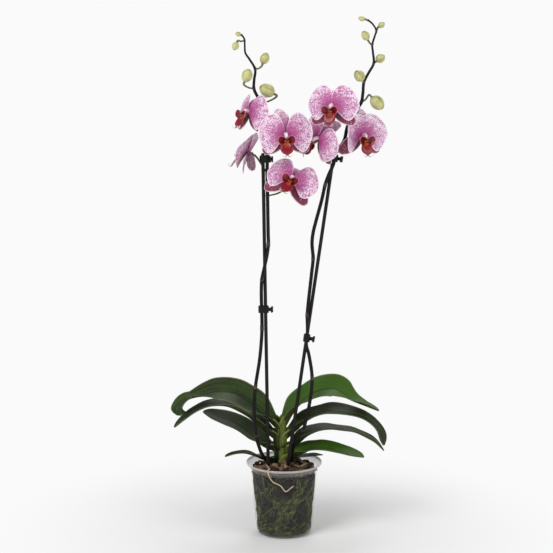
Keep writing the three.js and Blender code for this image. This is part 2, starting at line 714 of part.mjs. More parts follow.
// A bloom's place and the way it faces: yaw towards the left, pitch upwards and roll clockwise, in degrees.
// Its left petal, right petal and top sepal are swept back by the degrees listed, the top sepal nods sideways and
// the full lobes are a share of the petals' upper and lower ones. The node is the height that it hangs from.
const BLOOMS = {
  left_1: { at: [11.5, -32, 568], yaw: 0, pitch: 26, roll: 24, size: 0.97, sweep: [18, 14, 52], node: 539,
    lean: 5, nod: 0, full: [0.92, 0.84] },
  left_2: { at: [-56, 8, 605], yaw: 104, pitch: 22, roll: 0, size: 0.93, sweep: [-26, -12, 6], node: 574,
    lean: 10, nod: 0, full: [1, 1], bow: [3, 5, 0] },
  left_3: { at: [2, -48, 635.9], yaw: -4, pitch: 0, roll: -2, size: 0.97, sweep: [15, 15, 13], node: 640,
    lean: 7, nod: -16, full: [1, 1.08] },
  left_4: { at: [-54, -16, 668.3], yaw: 52, pitch: 16, roll: 2, size: 0.9, sweep: [20, 14, 40], node: 684,
    lean: 10, nod: 0, full: [0.95, 1.05] },
  right_1: { at: [51.5, -22, 629], yaw: 48, pitch: -5, roll: 40, size: 0.94, sweep: [18, 6, 54], node: 612,
    lean: 10, nod: 0, full: [1, 1] },
  right_2: { at: [119, -25, 634], yaw: -24, pitch: 0, roll: 0, size: 0.97, sweep: [-33, 4, 14], node: 645,
    lean: 26, nod: 0, full: [1, 1] },
  right_3: { at: [70.7, -59, 679.5], yaw: 18, pitch: 4, roll: 0, size: 0.93, sweep: [15, 15, 56], node: 660,
    lean: 16, nod: 0, full: [1, 0.88] },
};

const petalOutline = {
  upper: (u) => lerp(0.09, 1, Math.sin(Math.PI * Math.min(u, 0.985) ** 0.76) ** (1 - 0.35 * u)),
  lower: (u) => lerp(0.1, 1, Math.sin(Math.PI * Math.min(u, 0.985) ** 1.1)),
};

// A broad petal: a claw, a high upper lobe beside the top sepal and a rounder lower one, swept a little back. The
// lean is how far its upper lobe closes in on the other petal's.
function petal(hand, sweep, { lean, full }) {
  const point = (u, v) => {
    const away = radians(sweep * u);
    const reach = PETAL.length * u ** 0.85;
    const upper = full[0] * PETAL.upper * petalOutline.upper(u);
    const z = v * (v > 0 ? upper : full[1] * PETAL.lower * petalOutline.lower(u));
    const back = reach * Math.sin(away) + 0.0035 * z * z - 1.2;
    const wave = 1.6 * Math.abs(v) ** 3 * Math.sin(7 * u + hand);
    const closing = (lean * Math.max(z, 0) * (1 - u) ** 2) / PETAL.upper;
    return new THREE.Vector3(hand * (1.5 + reach * Math.cos(away) - closing), back + wave, z + 0.5);
  };
  return blade(point, () => PETAL.thick, 5, 4);
}

// A sepal: an oval tepal behind the petals, turned about the flower's axis from straight up.
function sepal({ length, half, claw, thick }, sweep, turn) {
  const axis = new THREE.Vector3(0, 1, 0);
  const point = (u, v) => {
    const away = radians(sweep * u);
    const reach = length * u ** 0.9;
    const width = lerp(claw, half, Math.sin(Math.PI * Math.min(u, 0.985) ** 0.85) ** 0.75);
    const back = 1.4 + reach * Math.sin(away) + 1.8 * v * v;
    const upright = new THREE.Vector3(v * width, back, 1.5 + reach * Math.cos(away));
    return upright.applyAxisAngle(axis, radians(turn));
  };
  return blade(point, () => thick, 4, 2);
}

function column() {
  const path = curve([[0, HUB_DEPTH, -0.5], [0, -1, 0], [0, -6, 0.8], [0, -11, -1.5]]);
  return tube(path, (t) => COLUMN_RADIUS * lerp(1.05, 0.8, t), 6, 2);
}

function tepals(spec) {
  const [left, right, top] = spec.sweep;
  const below = [180 - LATERAL.splay, 180 + LATERAL.splay].map((turn) => sepal(LATERAL, LATERAL.sweep, turn));
  return join([petal(-1, left, spec), petal(1, right, spec), sepal(DORSAL, top, spec.nod), ...below, column()]);
}

// The lip: a fleshy claw under the column, and one blade with a pointed shield below and two round side lobes that
// cup the column. Two tendrils end the shield.
const lipOutline = curve(LIP.outline.map(([turn, reach]) => [turn, 0, reach]));

function lipBlade(share, v) {
  const { x: turned, z: reach } = lipOutline.getPoint(Math.abs(v));
  const u = lerp(0.15, 1, share);
  const turn = radians(turned) * Math.sign(v);
  const side = smoothstep(Math.abs(turned), 46, 84);
  const shield = LIP.shield * Math.sin((u * Math.PI) / 2) - 2.5 * (turned / 40) ** 2 * u;
  const forward = lerp(shield, LIP.cup * u ** 1.7, side);
  const x = u * reach * Math.sin(turn) * (1 - 0.12 * side * u * u);
  return new THREE.Vector3(x, LIP.heart[1] - forward, LIP.heart[2] - u * reach * Math.cos(turn));
}

function lip() {
  const tendril = (hand) => {
    const places = LIP.tendril.map(([x, y, z]) => [x * hand, y, z]);
    return tube(curve(places), (t) => lerp(0.9, 0.5, t), 3, 2);
  };
  const claw = tube(curve([[0, -3.2, -3.75], [0, -8, -9.5]]), (t) => lerp(2, 2.6, t), 5, 1);
  return join([blade(lipBlade, () => 1, 2, 12), ...[-1, 1].map(tendril), claw]);
}

function bloomTurn({ yaw, pitch, roll }) {
  return new THREE.Euler(radians(-pitch), radians(roll), radians(-yaw), "ZXY");
}

function bloom(name, spec) {
  const made = group([
    part("bloom_" + name, tepals(spec), 0xd06fb4, 0.55),
    part("lip_" + name, lip(), 0xa80f34, 0.45),
  ]);
  made.position.set(...spec.at);
  made.rotation.copy(bloomTurn(spec));
  made.scale.setScalar(spec.size);
  return made;
}

function bloomStalk(spec) {
  const facing = new THREE.Vector3(0, -1, 0).applyEuler(bloomTurn(spec));
  const end = vector(spec.at).addScaledVector(facing, -(HUB_DEPTH * spec.size + GAP));
  return { node: spec.node, facing, end, lead: 9, bow: spec.bow };
}

// Buds

// A bud's middle, its length and thickness, the way it points, and the height of its node on the spike.
const BUDS = {
  left_1: { at: [-27, 18, 700], long: 25, wide: 21, points: [-0.85, -0.2, 0.45], node: 682 },
  left_2: { at: [-57, 4, 723], long: 21, wide: 17, points: [0.35, -0.3, 0.9], node: 703 },
  left_3: { at: [-30, 2, 749], long: 18, wide: 14.5, points: [0.35, 0.1, 0.9], node: 733 },
  left_4: { at: [-74.5, -3, 767], long: 13, wide: 11, points: [-0.4, -0.2, -0.9], node: 776 },
  left_5: { at: [-70.4, 2, 785.2], long: 8.5, wide: 7.5, points: [-0.95, 0, 0.3], node: 783 },
  right_1: { at: [141, -18, 682], long: 25, wide: 20, points: [0.6, -0.3, -0.6], node: 683 },
  right_2: { at: [113, -18, 723], long: 19, wide: 16.5, points: [-0.55, -0.3, 0.75], node: 713 },
  right_3: { at: [145.5, -10, 749], long: 15, wide: 14, points: [0.8, 0, 0.6], node: 741 },
  right_4: { at: [122, -15, 783], long: 15.5, wide: 12.5, points: [-0.5, -0.2, 0.85], node: 769 },
  right_5: { at: [146.5, -11, 799], long: 10.5, wide: 9.5, points: [0.8, 0, 0.6], node: 789 },
  right_6: { at: [116, -12, 808], long: 10, wide: 7.5, points: [-1, 0, 0.15], node: 805 },
};

function bud(name, { at, long, wide, points }) {
  const profile = [[0, -0.5], [0.3, -0.42], [0.5, -0.08], [0.44, 0.2], [0.24, 0.43], [0, 0.5]];
  const outline = profile.map(([radius, z]) => new THREE.Vector2(radius * wide, z * long));
  const body = new THREE.LatheGeometry(outline, 8);
  const mesh = part("bud_" + name, solid(body), 0xb9be6a, 0.5);
  mesh.position.set(...at);
  mesh.quaternion.setFromUnitVectors(new THREE.Vector3(0, 1, 0), vector(points).normalize());
  return mesh;
}

function budStalk({ at, long, points, node }) {
  const facing = vector(points).normalize();
  const end = vector(at).addScaledVector(facing, -(0.5 * long + GAP));
  return { node, facing, end, lead: 0.25 * long };
}

// The whole plant in its pot

function stalksOf(side) {
  const mine = ([name]) => name.startsWith(side);
  const blooms = Object.entries(BLOOMS).filter(mine).map(([, spec]) => bloomStalk(spec));
  const buds = Object.entries(BUDS).filter(mine).map(([, spec]) => budStalk(spec));
  return [...blooms, ...buds];
}

const orchid = group([
  group([pot(), barkMix(), aerialRoot()]),
  group([roots(), crown(), ...Object.entries(LEAVES).map(leafPart)]),
  group(["left", "right"].flatMap((side) => [stake(side), spike(side, stalksOf(side))])),
  group(Object.keys(CLIPS).map(clip)),
  group(Object.entries(BLOOMS).map(([name, spec]) => bloom(name, spec))),
  group(Object.entries(BUDS).map(([name, spec]) => bud(name, spec))),
]);

export default orchid;
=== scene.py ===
"""Dresses a potted moth orchid: its blooms, leaves, spikes, roots, bark mix and clear pot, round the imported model.

Lengths are in millimetres in the model's own frame, +Z up with the front towards -Y. They become metres only where
a mesh, a material, a light or the camera is made, and names that end in _m are in metres. A place along a piece is
u, from 0 at its base to 1 at its tip, and a place across it is v, from -1 to 1.
"""

import logging
import math
from collections.abc import Iterable, Sequence
from dataclasses import dataclass, field
from enum import Enum
from functools import cache

import bpy
import numpy as np
from mathutils import Euler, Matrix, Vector


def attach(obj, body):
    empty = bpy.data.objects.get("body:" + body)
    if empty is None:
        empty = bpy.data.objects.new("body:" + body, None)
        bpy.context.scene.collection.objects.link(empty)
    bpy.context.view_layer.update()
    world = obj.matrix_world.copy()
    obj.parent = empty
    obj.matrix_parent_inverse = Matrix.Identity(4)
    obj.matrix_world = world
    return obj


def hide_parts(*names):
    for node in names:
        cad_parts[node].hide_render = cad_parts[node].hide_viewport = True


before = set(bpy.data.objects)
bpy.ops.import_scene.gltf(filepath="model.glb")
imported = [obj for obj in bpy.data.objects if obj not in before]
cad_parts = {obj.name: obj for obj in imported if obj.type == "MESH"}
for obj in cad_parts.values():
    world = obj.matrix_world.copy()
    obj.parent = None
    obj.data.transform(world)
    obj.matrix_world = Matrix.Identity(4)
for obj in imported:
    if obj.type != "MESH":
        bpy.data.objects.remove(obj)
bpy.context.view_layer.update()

MM = 0.001
Array = np.ndarray
Point = tuple[float, float, float]
Socket = bpy.types.NodeSocket
LOG = logging.getLogger("orchid")


class Hand(Enum):
    """A side of the plant or of a flower, as seen from the front."""

    LEFT = -1
    RIGHT = 1

    @property
    def word(self) -> str:
        """The side's name, as the pieces' names have it."""
        return self.name.lower()


# Numbers and directions


def linear(hex_colour: str) -> tuple[float, float, float, float]:
    """Turns an sRGB colour into linear light.

    Args:
        hex_colour: six hex digits, such as "A80F34".

    Returns:
        Red, green, blue and an alpha of 1.
    """
    shares = [int(hex_colour[i:i + 2], 16) / 255 for i in (0, 2, 4)]
    light = [c / 12.92 if c <= 0.04045 else ((c + 0.055) / 1.055) ** 2.4 for c in shares]
    return (light[0], light[1], light[2], 1.0)


def lerp(low: Array | float, high: Array | float, share: Array | float) -> Array | float:
    """Returns the value at a share of the way from low to high."""
    return low + (high - low) * share


def smooth(value: Array | float, low: float = 0.0, high: float = 1.0) -> Array | float:
    """Returns a soft step from 0 at low to 1 at high."""
    share = np.clip((np.asarray(value, float) - low) / (high - low), 0, 1)
    return share * share * (3 - 2 * share)


def unit(rows: Array) -> Array:
    """Returns each row's direction, with length 1."""
    return rows / np.maximum(np.linalg.norm(rows, axis=-1, keepdims=True), 1e-9)


def spaced(count: int, crowd: float = 0.0) -> Array:
    """Returns numbers from 0 to 1.

    Args:
        count: how many there are.
        crowd: 0 for even steps, up to 1 for steps that grow small near both ends.

    Returns:
        The numbers in rising order.
    """
    even = np.linspace(0, 1, count)
    return lerp(even, 0.5 - 0.5 * np.cos(math.pi * even), crowd)


def around(count: int) -> Array:
    """Returns that many angles in radians, evenly round a full turn."""
    return 2 * math.pi * np.arange(count) / count


def turned(x: float = 0.0, y: float = 0.0, z: float = 0.0) -> Array:
    """Returns a rotation about the X, then the Y and then the Z axis, from angles in radians."""
    return np.array(Euler((x, y, z)).to_matrix())


def from_front(reach: float, angle: float, z: float) -> Point:
    """Returns a place by its distance from the pot's axis and its angle in degrees from the front to the right."""
    turn = math.radians(angle)
    return (reach * math.sin(turn), -reach * math.cos(turn), z)


class Spline:
    """A centripetal Catmull-Rom curve through given points."""

    STEPS = 40

    def __init__(self, points: Sequence[Sequence[float]]) -> None:
        """Draws the curve finely.

        Args:
            points: places in millimetres, at least two.
        """
        knots = np.array(points, float)
        knots = np.vstack([2 * knots[0] - knots[1], knots, 2 * knots[-1] - knots[-2]])
        share = np.linspace(0, 1, self.STEPS, endpoint=False)[:, None]
        pieces = [self._stretch(knots[i:i + 4], share) for i in range(len(knots) - 3)]
        self.drawn = np.vstack([*pieces, knots[-2:-1]])
        self.t = np.linspace(0, 1, len(self.drawn))
        steps = np.linalg.norm(np.diff(self.drawn, axis=0), axis=1)
        self.travel = np.concatenate([[0], np.cumsum(steps)])
        self.length = float(self.travel[-1])

    @staticmethod
    def _stretch(knots: Array, share: Array) -> Array:
        """Draws the curve between the middle two of four knots.

        Args:
            knots: the four points.
            share: shares of the stretch to draw at.

        Returns:
            The places of that stretch.
        """
        gaps = np.maximum(np.linalg.norm(np.diff(knots, axis=0), axis=1) ** 0.5, 1e-4)
        slopes = np.diff(knots, axis=0) / gaps[:, None]
        bends = [(knots[i + 2] - knots[i]) / (gaps[i] + gaps[i + 1]) for i in (0, 1)]
        leave = (slopes[0] - bends[0] + slopes[1]) * gaps[1]
        arrive = (slopes[1] - bends[1] + slopes[2]) * gaps[1]
        start, end = knots[1], knots[2]
        square = -3 * start + 3 * end - 2 * leave - arrive
        cube = 2 * start - 2 * end + leave + arrive
        return start + leave * share + square * share**2 + cube * share**3

    def _read(self, where: Array, scale: Array) -> Array:
        """Reads the drawn curve at places on one of its scales."""
        return np.stack([np.interp(where, scale, self.drawn[:, k]) for k in range(3)], axis=-1)

    def at(self, u: Array | float) -> Array:
        """Returns the places at shares of the curve's length."""
        return self._read(np.asarray(u, float) * self.length, self.travel)

    def knot(self, t: Array | float) -> Array:
        """Returns the places at shares of the curve's points, which needn't be evenly apart."""
        return self._read(np.asarray(t, float), self.t)

    def forward(self, u: Array | float) -> Array:
        """Returns the directions at shares of the curve's length."""
        u = np.asarray(u, float)
        return unit(self.at(np.minimum(u + 0.004, 1)) - self.at(np.maximum(u - 0.004, 0)))

    def nearest(self, height: float) -> float:
        """Returns the share of the length where the curve is nearest to a height."""
        return float(self.travel[np.argmin(np.abs(self.drawn[:, 2] - height))] / self.length)


# Meshes


def grid(rows: int, columns: int, wrap: bool = False) -> list[tuple[int, int, int, int]]:
    """Lists the faces between vertices that are laid out row by row.

    Args:
        rows: how many rows there are.
        columns: how many vertices each row has.
        wrap: whether each row closes on itself.

    Returns:
        Four vertex numbers for each face.
    """
    faces = []
    for i in range(rows - 1):
        for j in range(columns if wrap else columns - 1):
            a, b = i * columns + j, i * columns + (j + 1) % columns
            faces.append((a, a + columns, b + columns, b))
    return faces


def skin(rows: int, sides: int) -> list[tuple[int, ...]]:
    """Lists the faces of a solid made of rings, with a flat face over its first ring and over its last."""
    faces = [tuple(face[::-1]) for face in grid(rows, sides, wrap=True)]
    return [*faces, tuple(range(sides))[::-1], tuple(range((rows - 1) * sides, rows * sides))]


@dataclass
class Form:
    """A mesh in the making, with the values at its vertices that its finish reads."""

    points: list[Array] = field(default_factory=list)
    faces: list[tuple[int, ...]] = field(default_factory=list)
    slots: list[int] = field(default_factory=list)
    values: list[dict[str, Array]] = field(default_factory=list)
    count: int = 0

    def add(self, points: Array, faces: Iterable[Sequence[int]], slot: int = 0, **values: Array | float) -> None:
        """Adds a patch of surface.

        Args:
            points: places in millimetres, in any layout that ends in 3.
            faces: vertex numbers of each face, counted in this patch.
            slot: the number of the material that the patch takes.
            **values: a number, or a row of 3, for all the patch or for each vertex.
        """
        flat = np.asarray(points, float).reshape(-1, 3)
        before = len(self.faces)
        self.faces += [tuple(i + self.count for i in face) for face in faces]
        self.slots += [slot] * (len(self.faces) - before)
        self.points.append(flat)
        self.values.append({name: self._spread(value, len(flat)) for name, value in values.items()})
        self.count += len(flat)

    @staticmethod
    def _spread(value: Array | float, count: int) -> Array:
        """Gives every vertex its own value.

        Args:
            value: a number, or a row of 3, for all the vertices or for each.
            count: how many vertices there are.

        Returns:
            A number, or a row of 3, for each vertex.
        """
        array = np.asarray(value, float)
        if array.ndim == 0 or array.shape == (3,):
            return np.broadcast_to(array, (count, *array.shape))
        return array.reshape(count, 3) if array.size == 3 * count else array.reshape(count)

    def place(self, turn: Array, size: float, at: Sequence[float]) -> None:
        """Turns and scales all that is in the form so far, and moves its own origin to a place."""
        self.points = [points @ turn.T * size + np.array(at) for points in self.points]

    def piece(self, name: str, finishes: Sequence[str], nodes: Sequence[str] = (),
              slot: str | None = None) -> bpy.types.Object:
        """Makes the piece, rides it on the plant's one body and hides the nodes that it stands for.

        Args:
            name: the piece's name.
            finishes: the keys of its finishes, in the order of the patches' slots.
            nodes: the nodes that it replaces.
            slot: the record's material slot for the piece; not used.

        Returns:
            The new object.
        """
        mesh = bpy.data.meshes.new(name)
        mesh.from_pydata((np.vstack(self.points) * MM).tolist(), [], self.faces)
        for key in finishes:
            mesh.materials.append(material(key))
        mesh.polygons.foreach_set("material_index", self.slots)
        mesh.polygons.foreach_set("use_smooth", [True] * len(mesh.polygons))
        for key in self.values[0]:
            rows = np.concatenate([patch[key] for patch in self.values]).astype(np.float32)
            kind, target = ("FLOAT_VECTOR", "vector") if rows.ndim == 2 else ("FLOAT", "value")
            mesh.attributes.new(key, kind, "POINT").data.foreach_set(target, rows.ravel())
        mesh.update()
        made = bpy.data.objects.new(name, mesh)
        bpy.context.scene.collection.objects.link(made)
        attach(made, "root")
        if nodes:
            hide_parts(*nodes)
        LOG.info("%s: %d faces", name, len(mesh.polygons))
        return made


def facing(middle: Array) -> Array:
    """Returns the normal at each place of a surface laid out in rows along and columns across.

    Args:
        middle: the surface's places, rows by columns by 3.

    Returns:
        A direction of length 1 for each place.
    """
    along = np.gradient(middle, axis=0)
    across = np.gradient(middle, axis=1)
    normal = np.cross(along, across)
    length = np.linalg.norm(normal, axis=-1, keepdims=True)
    mean = unit(normal.mean(axis=1, keepdims=True))
    return np.where(length > 1e-7, normal / np.maximum(length, 1e-9), mean)


def blade(form: Form, middle: Array, half: Array | float, front: int = 1, slots: tuple[int, int] = (0, 1),
          **values: Array | float) -> None:
    """Adds a thin closed blade to a form.

    Args:
        form: what it is added to.
        middle: its middle surface, rows along by columns across by 3.
        half: half its thickness at each place.
        front: 1 where the front is the side that the surface's normal points to, and -1 where it is the other.
        slots: the materials of the front, and of the back and the rim.
        **values: what the finish reads, laid out as the surface is, or as one of its rows or columns.
    """
    rows, columns = middle.shape[:2]
    normal = facing(middle) * front
    faces = [face[::front] for face in grid(rows, columns)]
    thick = normal * np.asarray(half)[..., None]
    both = np.concatenate([middle + thick, middle - thick])
    twice = {name: np.concatenate([np.broadcast_to(v, (rows, columns, *np.shape(v)[2:]))] * 2)
             for name, v in values.items()}
    rim = [*range(columns), *range(2 * columns - 1, rows * columns, columns)]
    rim += [*range(rows * columns - 2, (rows - 1) * columns - 1, -1), *range((rows - 2) * columns, 0, -columns)]
    back = rows * columns
    edges = [(a, b, b + back, a + back)[::front] for a, b in zip(rim, rim[1:] + rim[:1])]
    form.add(both, [*faces, *[tuple(i + back for i in face[::-1]) for face in faces], *edges], **twice)
    form.slots[-2 * len(faces) - len(edges):] = [slots[0]] * len(faces) + [slots[1]] * (len(faces) + len(edges))


def transported(path: Array) -> tuple[Array, Array]:
    """Finds two directions across a path that don't twist as they follow it.

    Args:
        path: places along it.

    Returns:
        The two directions at each place.
    """
    along = unit(np.gradient(path, axis=0))
    normal = np.array([0.0, 1.0, 0.0]) if abs(along[0][1]) < 0.8 else np.array([1.0, 0.0, 0.0])
    normals = []
    for way in along:
        normal = unit(normal - way * np.dot(normal, way))
        normals.append(normal)
    return np.array(normals), np.cross(along, np.array(normals))


def tube(form: Form, path: Array, radii: Array | float, sides: int, slot: int = 0, ends: float = 1.0,
         ripple: Array | None = None, **values: Array | float) -> None:
    """Adds a round stem with rounded ends to a form.

    Args:
        form: what it is added to.
        path: places along its middle.
        radii: its radius at each place.
        sides: how many sides each ring has.
        slot: its material.
        ends: how long the rounded ends are, as a share of the radius.
        ripple: what each ring's vertices are scaled by, rings by sides.
        **values: what the finish reads, for each place on the path or for all of it.
    """
    radii = np.broadcast_to(np.asarray(radii, float), (len(path),))
    caps = np.radians([80.0, 50.0, 22.0])
    along = unit(np.gradient(path, axis=0))
    first = path[0] - along[0] * (radii[0] * ends * np.sin(caps))[:, None]
    last = path[-1] + along[-1] * (radii[-1] * ends * np.sin(caps[::-1]))[:, None]
    whole = np.vstack([first, path, last])
    reach = np.concatenate([radii[0] * np.cos(caps), radii, radii[-1] * np.cos(caps[::-1])])
    normals, sideways = transported(path)
    pad = [0] * 3 + list(range(len(path))) + [len(path) - 1] * 3
    cos, sin = (wave(around(sides))[None, :, None] for wave in (np.cos, np.sin))
    spokes = normals[pad][:, None] * cos + sideways[pad][:, None] * sin
    scale = np.ones((len(whole), sides)) if ripple is None else ripple[pad]
    rings = whole[:, None] + spokes * (reach[:, None] * scale)[..., None]
    spread = {}
    for name, value in values.items():
        rows = np.asarray(value, float)
        spread[name] = rows if rows.ndim == 0 or rows.shape == (3,) else np.repeat(rows[pad], sides, axis=0)
    form.add(rings, skin(len(whole), sides), slot, **spread)


def lathe(form: Form, outline: Sequence[tuple[float, float]], sides: int, **values: Array | float) -> None:
    """Adds a turned solid about the Z axis, from an outline that starts and ends on the axis.

    Args:
        form: what it is added to.
        outline: radii and heights, from the axis round to the axis.
        sides: how many sides it has.
        **values: what the finish reads, for all of it or for each vertex.
    """
    turn = around(sides)
    rings = [np.stack([r * np.cos(turn), r * np.sin(turn), 0 * turn + z], -1) for r, z in outline[1:-1]]
    points = np.array([*np.reshape(rings, (-1, 3)), (0, 0, outline[0][1]), (0, 0, outline[-1][1])])
    faces = [tuple(face[::-1]) for face in grid(len(rings), sides, wrap=True)]
    low, high = len(points) - 2, len(points) - 1
    last = (len(rings) - 1) * sides
    for j in range(sides):
        after = (j + 1) % sides
        faces += [(low, after, j), (high, last + j, last + after)]
    form.add(points, faces, **values)


# Materials


class NodeTree:
    """The node tree of a material or of the world, with one way to add a node."""

    def __init__(self, owner: bpy.types.Material | bpy.types.World) -> None:
        """Empties the owner's tree.

        Args:
            owner: the material or the world, whose tree it is.
        """
        owner.use_nodes = True
        self.owner = owner
        self.tree = owner.node_tree
        self.tree.nodes.clear()

    def add(self, kind: str, settings: dict[str | int, object], out: str | int = 0) -> Socket | None:
        """Adds one node with its settings and links.

        Args:
            kind: the node's type, without ShaderNode.
            settings: its properties by name, and its inputs by name or number. A socket is linked to the input,
                and anything else is set on it. "stops" fills a colour ramp with places and hex colours.
            out: the output to hand back.

        Returns:
            That output's socket, or nothing where the node has no output.
        """
        made = self.tree.nodes.new("ShaderNode" + kind)
        for key, value in settings.items():
            if isinstance(value, Socket):
                self.tree.links.new(value, made.inputs[key])
            elif key == "stops":
                for place, _ in value[2:]:
                    made.color_ramp.elements.new(place)
                for element, (place, colour) in zip(made.color_ramp.elements, sorted(value)):
                    element.position, element.color = place, linear(colour)
            elif isinstance(key, str) and hasattr(made, key):
                setattr(made, key, value)
            else:
                made.inputs[key].default_value = value
        return made.outputs[out] if made.outputs else None


SOFT = {"interpolation_type": "SMOOTHSTEP"}
COLOURS = {"data_type": "RGBA"}


@dataclass(frozen=True)
class PetalTissue:
    """Live petal: thin white tissue with a net of pink veins, matt from its tiny domed cells, and a white rim that
    is partly its own pale edge and partly painted edge light.

    A petal's net has meshes of 3.3 by 1.9 mm, drawn a little coarser than life so that they show.
    """

    name: str
    ground: str
    ground_heart: str
    net: str
    net_heart: str
    margin: str
    mesh_mm: tuple[float, float] = (3.3, 1.9)
    net_width: tuple[float, float] = (0.34, 0.13)
    net_blur: float = 0.09
    heart_mm: tuple[float, float] = (3.0, 33.0)
    margin_mm: tuple[float, float] = (0.3, 2.3)
    cloud_mm: float = 6.25
    grain_mm: float = 0.417

    def build(self) -> bpy.types.Material:
        """Builds the material.

        Returns:
            The petal's material.
        """
        tree = NodeTree(bpy.data.materials.new(self.name))
        add = tree.add
        reach = add("Attribute", {"attribute_name": "reach"}, "Fac")
        place = add("Attribute", {"attribute_name": "vein"}, "Vector")
        near, far = self.heart_mm
        away = add("MapRange", {**SOFT, "Value": reach, "From Min": near, "From Max": far})
        size = (1 / self.mesh_mm[0], 1 / self.mesh_mm[1], 1.0)
        meshes = add("VectorMath", {"operation": "MULTIPLY", 0: place, 1: size})
        drift = add("TexNoise", {"Scale": 0.9, "Detail": 2.0, "Vector": meshes}, "Color")
        bent = add("VectorMath", {"operation": "MULTIPLY_ADD", 0: drift, 1: (0.45, 0.45, 0.0), 2: meshes})
        edge = add("TexVoronoi", {"feature": "DISTANCE_TO_EDGE", "Scale": 1.0, "Randomness": 0.95, "Vector": bent})
        cloud = add("TexNoise", {"Scale": 1 / self.cloud_mm, "Detail": 3.0, "Vector": place})
        uneven = add("Math", {"operation": "MULTIPLY_ADD", 0: cloud, 1: 0.5, 2: -0.25})
        width = add("MapRange", {"Value": away, "To Min": self.net_width[0], "To Max": self.net_width[1]})
        width = add("Math", {"operation": "ADD", 0: width, 1: uneven})
        inner = add("Math", {"operation": "SUBTRACT", 0: width, 1: self.net_blur})
        outer = add("Math", {"operation": "ADD", 0: width, 1: self.net_blur})
        netted = add("MapRange", {**SOFT, "Value": edge, "From Min": inner, "From Max": outer, "To Min": 1.0,
                                  "To Max": 0.0})
        ground = add("Mix", {**COLOURS, 0: away, 6: linear(self.ground_heart), 7: linear(self.ground)}, 2)
        net = add("Mix", {**COLOURS, 0: away, 6: linear(self.net_heart), 7: linear(self.net)}, 2)
        colour = add("Mix", {**COLOURS, 0: netted, 6: ground, 7: net}, 2)
        # The white rim is partly the petal's own pale edge and partly painted edge light; it is weaker near the
        # heart.
        margin = add("Attribute", {"attribute_name": "margin"}, "Fac")
        near, far = self.margin_mm
        rim = add("MapRange", {**SOFT, "Value": margin, "From Min": near, "From Max": far, "To Min": 1.0,
                               "To Max": 0.0})
        outer = add("MapRange", {"Value": reach, "From Min": 8.0, "From Max": 26.0, "To Min": 0.15})
        rim = add("Math", {"operation": "MULTIPLY", 0: rim, 1: outer})
        colour = add("Mix", {**COLOURS, 0: rim, 6: colour, 7: linear(self.margin)}, 2)
        grain = add("TexNoise", {"Scale": 1 / self.grain_mm, "Detail": 2.0, "Vector": place})
        relief = add("Math", {"operation": "MULTIPLY_ADD", 0: grain, 1: 0.25, 2: edge})
        bump = add("Bump", {"Strength": 0.28, "Distance": 0.0005, "Height": relief})
        shader = add("BsdfPrincipled", {
            "Base Color": colour, "Normal": bump, "Roughness": 0.5, "IOR": 1.42, "Subsurface Weight": 0.18,
            "Subsurface Radius": (1.0, 0.5, 0.6), "Subsurface Scale": 0.0012, "Sheen Weight": 0.12,
            "Sheen Roughness": 0.5})
        add("OutputMaterial", {"Surface": shader})
        return tree.owner


@dataclass(frozen=True)
class LipTissue:
    """Live lip: thicker, waxy crimson tissue with an orange throat, a pale rim and a moist gloss, with painted shade
    in its cupped side lobes and on the claw.
    """

    name: str
    tip: str
    body: str
    throat: str
    rim: str = "EBC7D2"
    cloud_mm: float = 2.86
    spot_mm: float = 1.43

    def build(self) -> bpy.types.Material:
        """Builds the material.

        Returns:
            The lip's material.
        """
        tree = NodeTree(bpy.data.materials.new(self.name))
        add = tree.add
        names = ("throat", "margin", "deep")
        heat, rim, deep = (add("Attribute", {"attribute_name": name}, "Fac") for name in names)
        place = add("Attribute", {"attribute_name": "vein"}, "Vector")
        cloud = add("TexNoise", {"Scale": 1 / self.cloud_mm, "Detail": 3.0, "Vector": place})
        red = add("ValToRGB", {"stops": [(0.3, self.body), (0.7, self.tip)], "Fac": cloud})
        spots = add("TexVoronoi", {"Scale": 1 / self.spot_mm, "Vector": place})
        dots = add("MapRange", {"Value": spots, "From Min": 0.25, "From Max": 0.42})
        gold = add("Mix", {**COLOURS, 0: dots, 6: linear(self.body), 7: linear(self.throat)}, 2)
        colour = add("Mix", {**COLOURS, 0: heat, 6: red, 7: gold}, 2)
        # Painted shade: the cupped side lobes and the claw under the column are darkened towards the dark body
        # colour.
        colour = add("Mix", {**COLOURS, 0: deep, 6: colour, 7: linear(self.body)}, 2)
        colour = add("Mix", {**COLOURS, 0: rim, 6: colour, 7: linear(self.rim)}, 2)
        bump = add("Bump", {"Strength": 0.2, "Distance": 0.0004, "Height": cloud})
        shader = add("BsdfPrincipled", {
            "Base Color": colour, "Normal": bump, "Roughness": 0.34, "IOR": 1.42, "Subsurface Weight": 0.15,
            "Subsurface Scale": 0.001, "Subsurface Radius": (1.0, 0.25, 0.2), "Coat Weight": 0.15,
            "Coat Roughness": 0.3})
        add("OutputMaterial", {"Surface": shader})
        return tree.owner


@dataclass(frozen=True)
class ColumnTissue:
    """Live column: smooth fleshy tissue, white at its cap and pink at its foot."""

    name: str
    cap: str
    foot: str

    def build(self) -> bpy.types.Material:
        """Builds the material.

        Returns:
            The column's material.
        """
        tree = NodeTree(bpy.data.materials.new(self.name))
        add = tree.add
        along = add("Attribute", {"attribute_name": "along"}, "Fac")
        colour = add("ValToRGB", {"stops": [(0.15, self.foot), (0.75, self.cap)], "Fac": along})
        shader = add("BsdfPrincipled", {
            "Base Color": colour, "Roughness": 0.38, "IOR": 1.42, "Subsurface Weight": 0.25,
            "Subsurface Scale": 0.0015, "Subsurface Radius": (1.0, 0.6, 0.6)})
        add("OutputMaterial", {"Surface": shader})
        return tree.owner


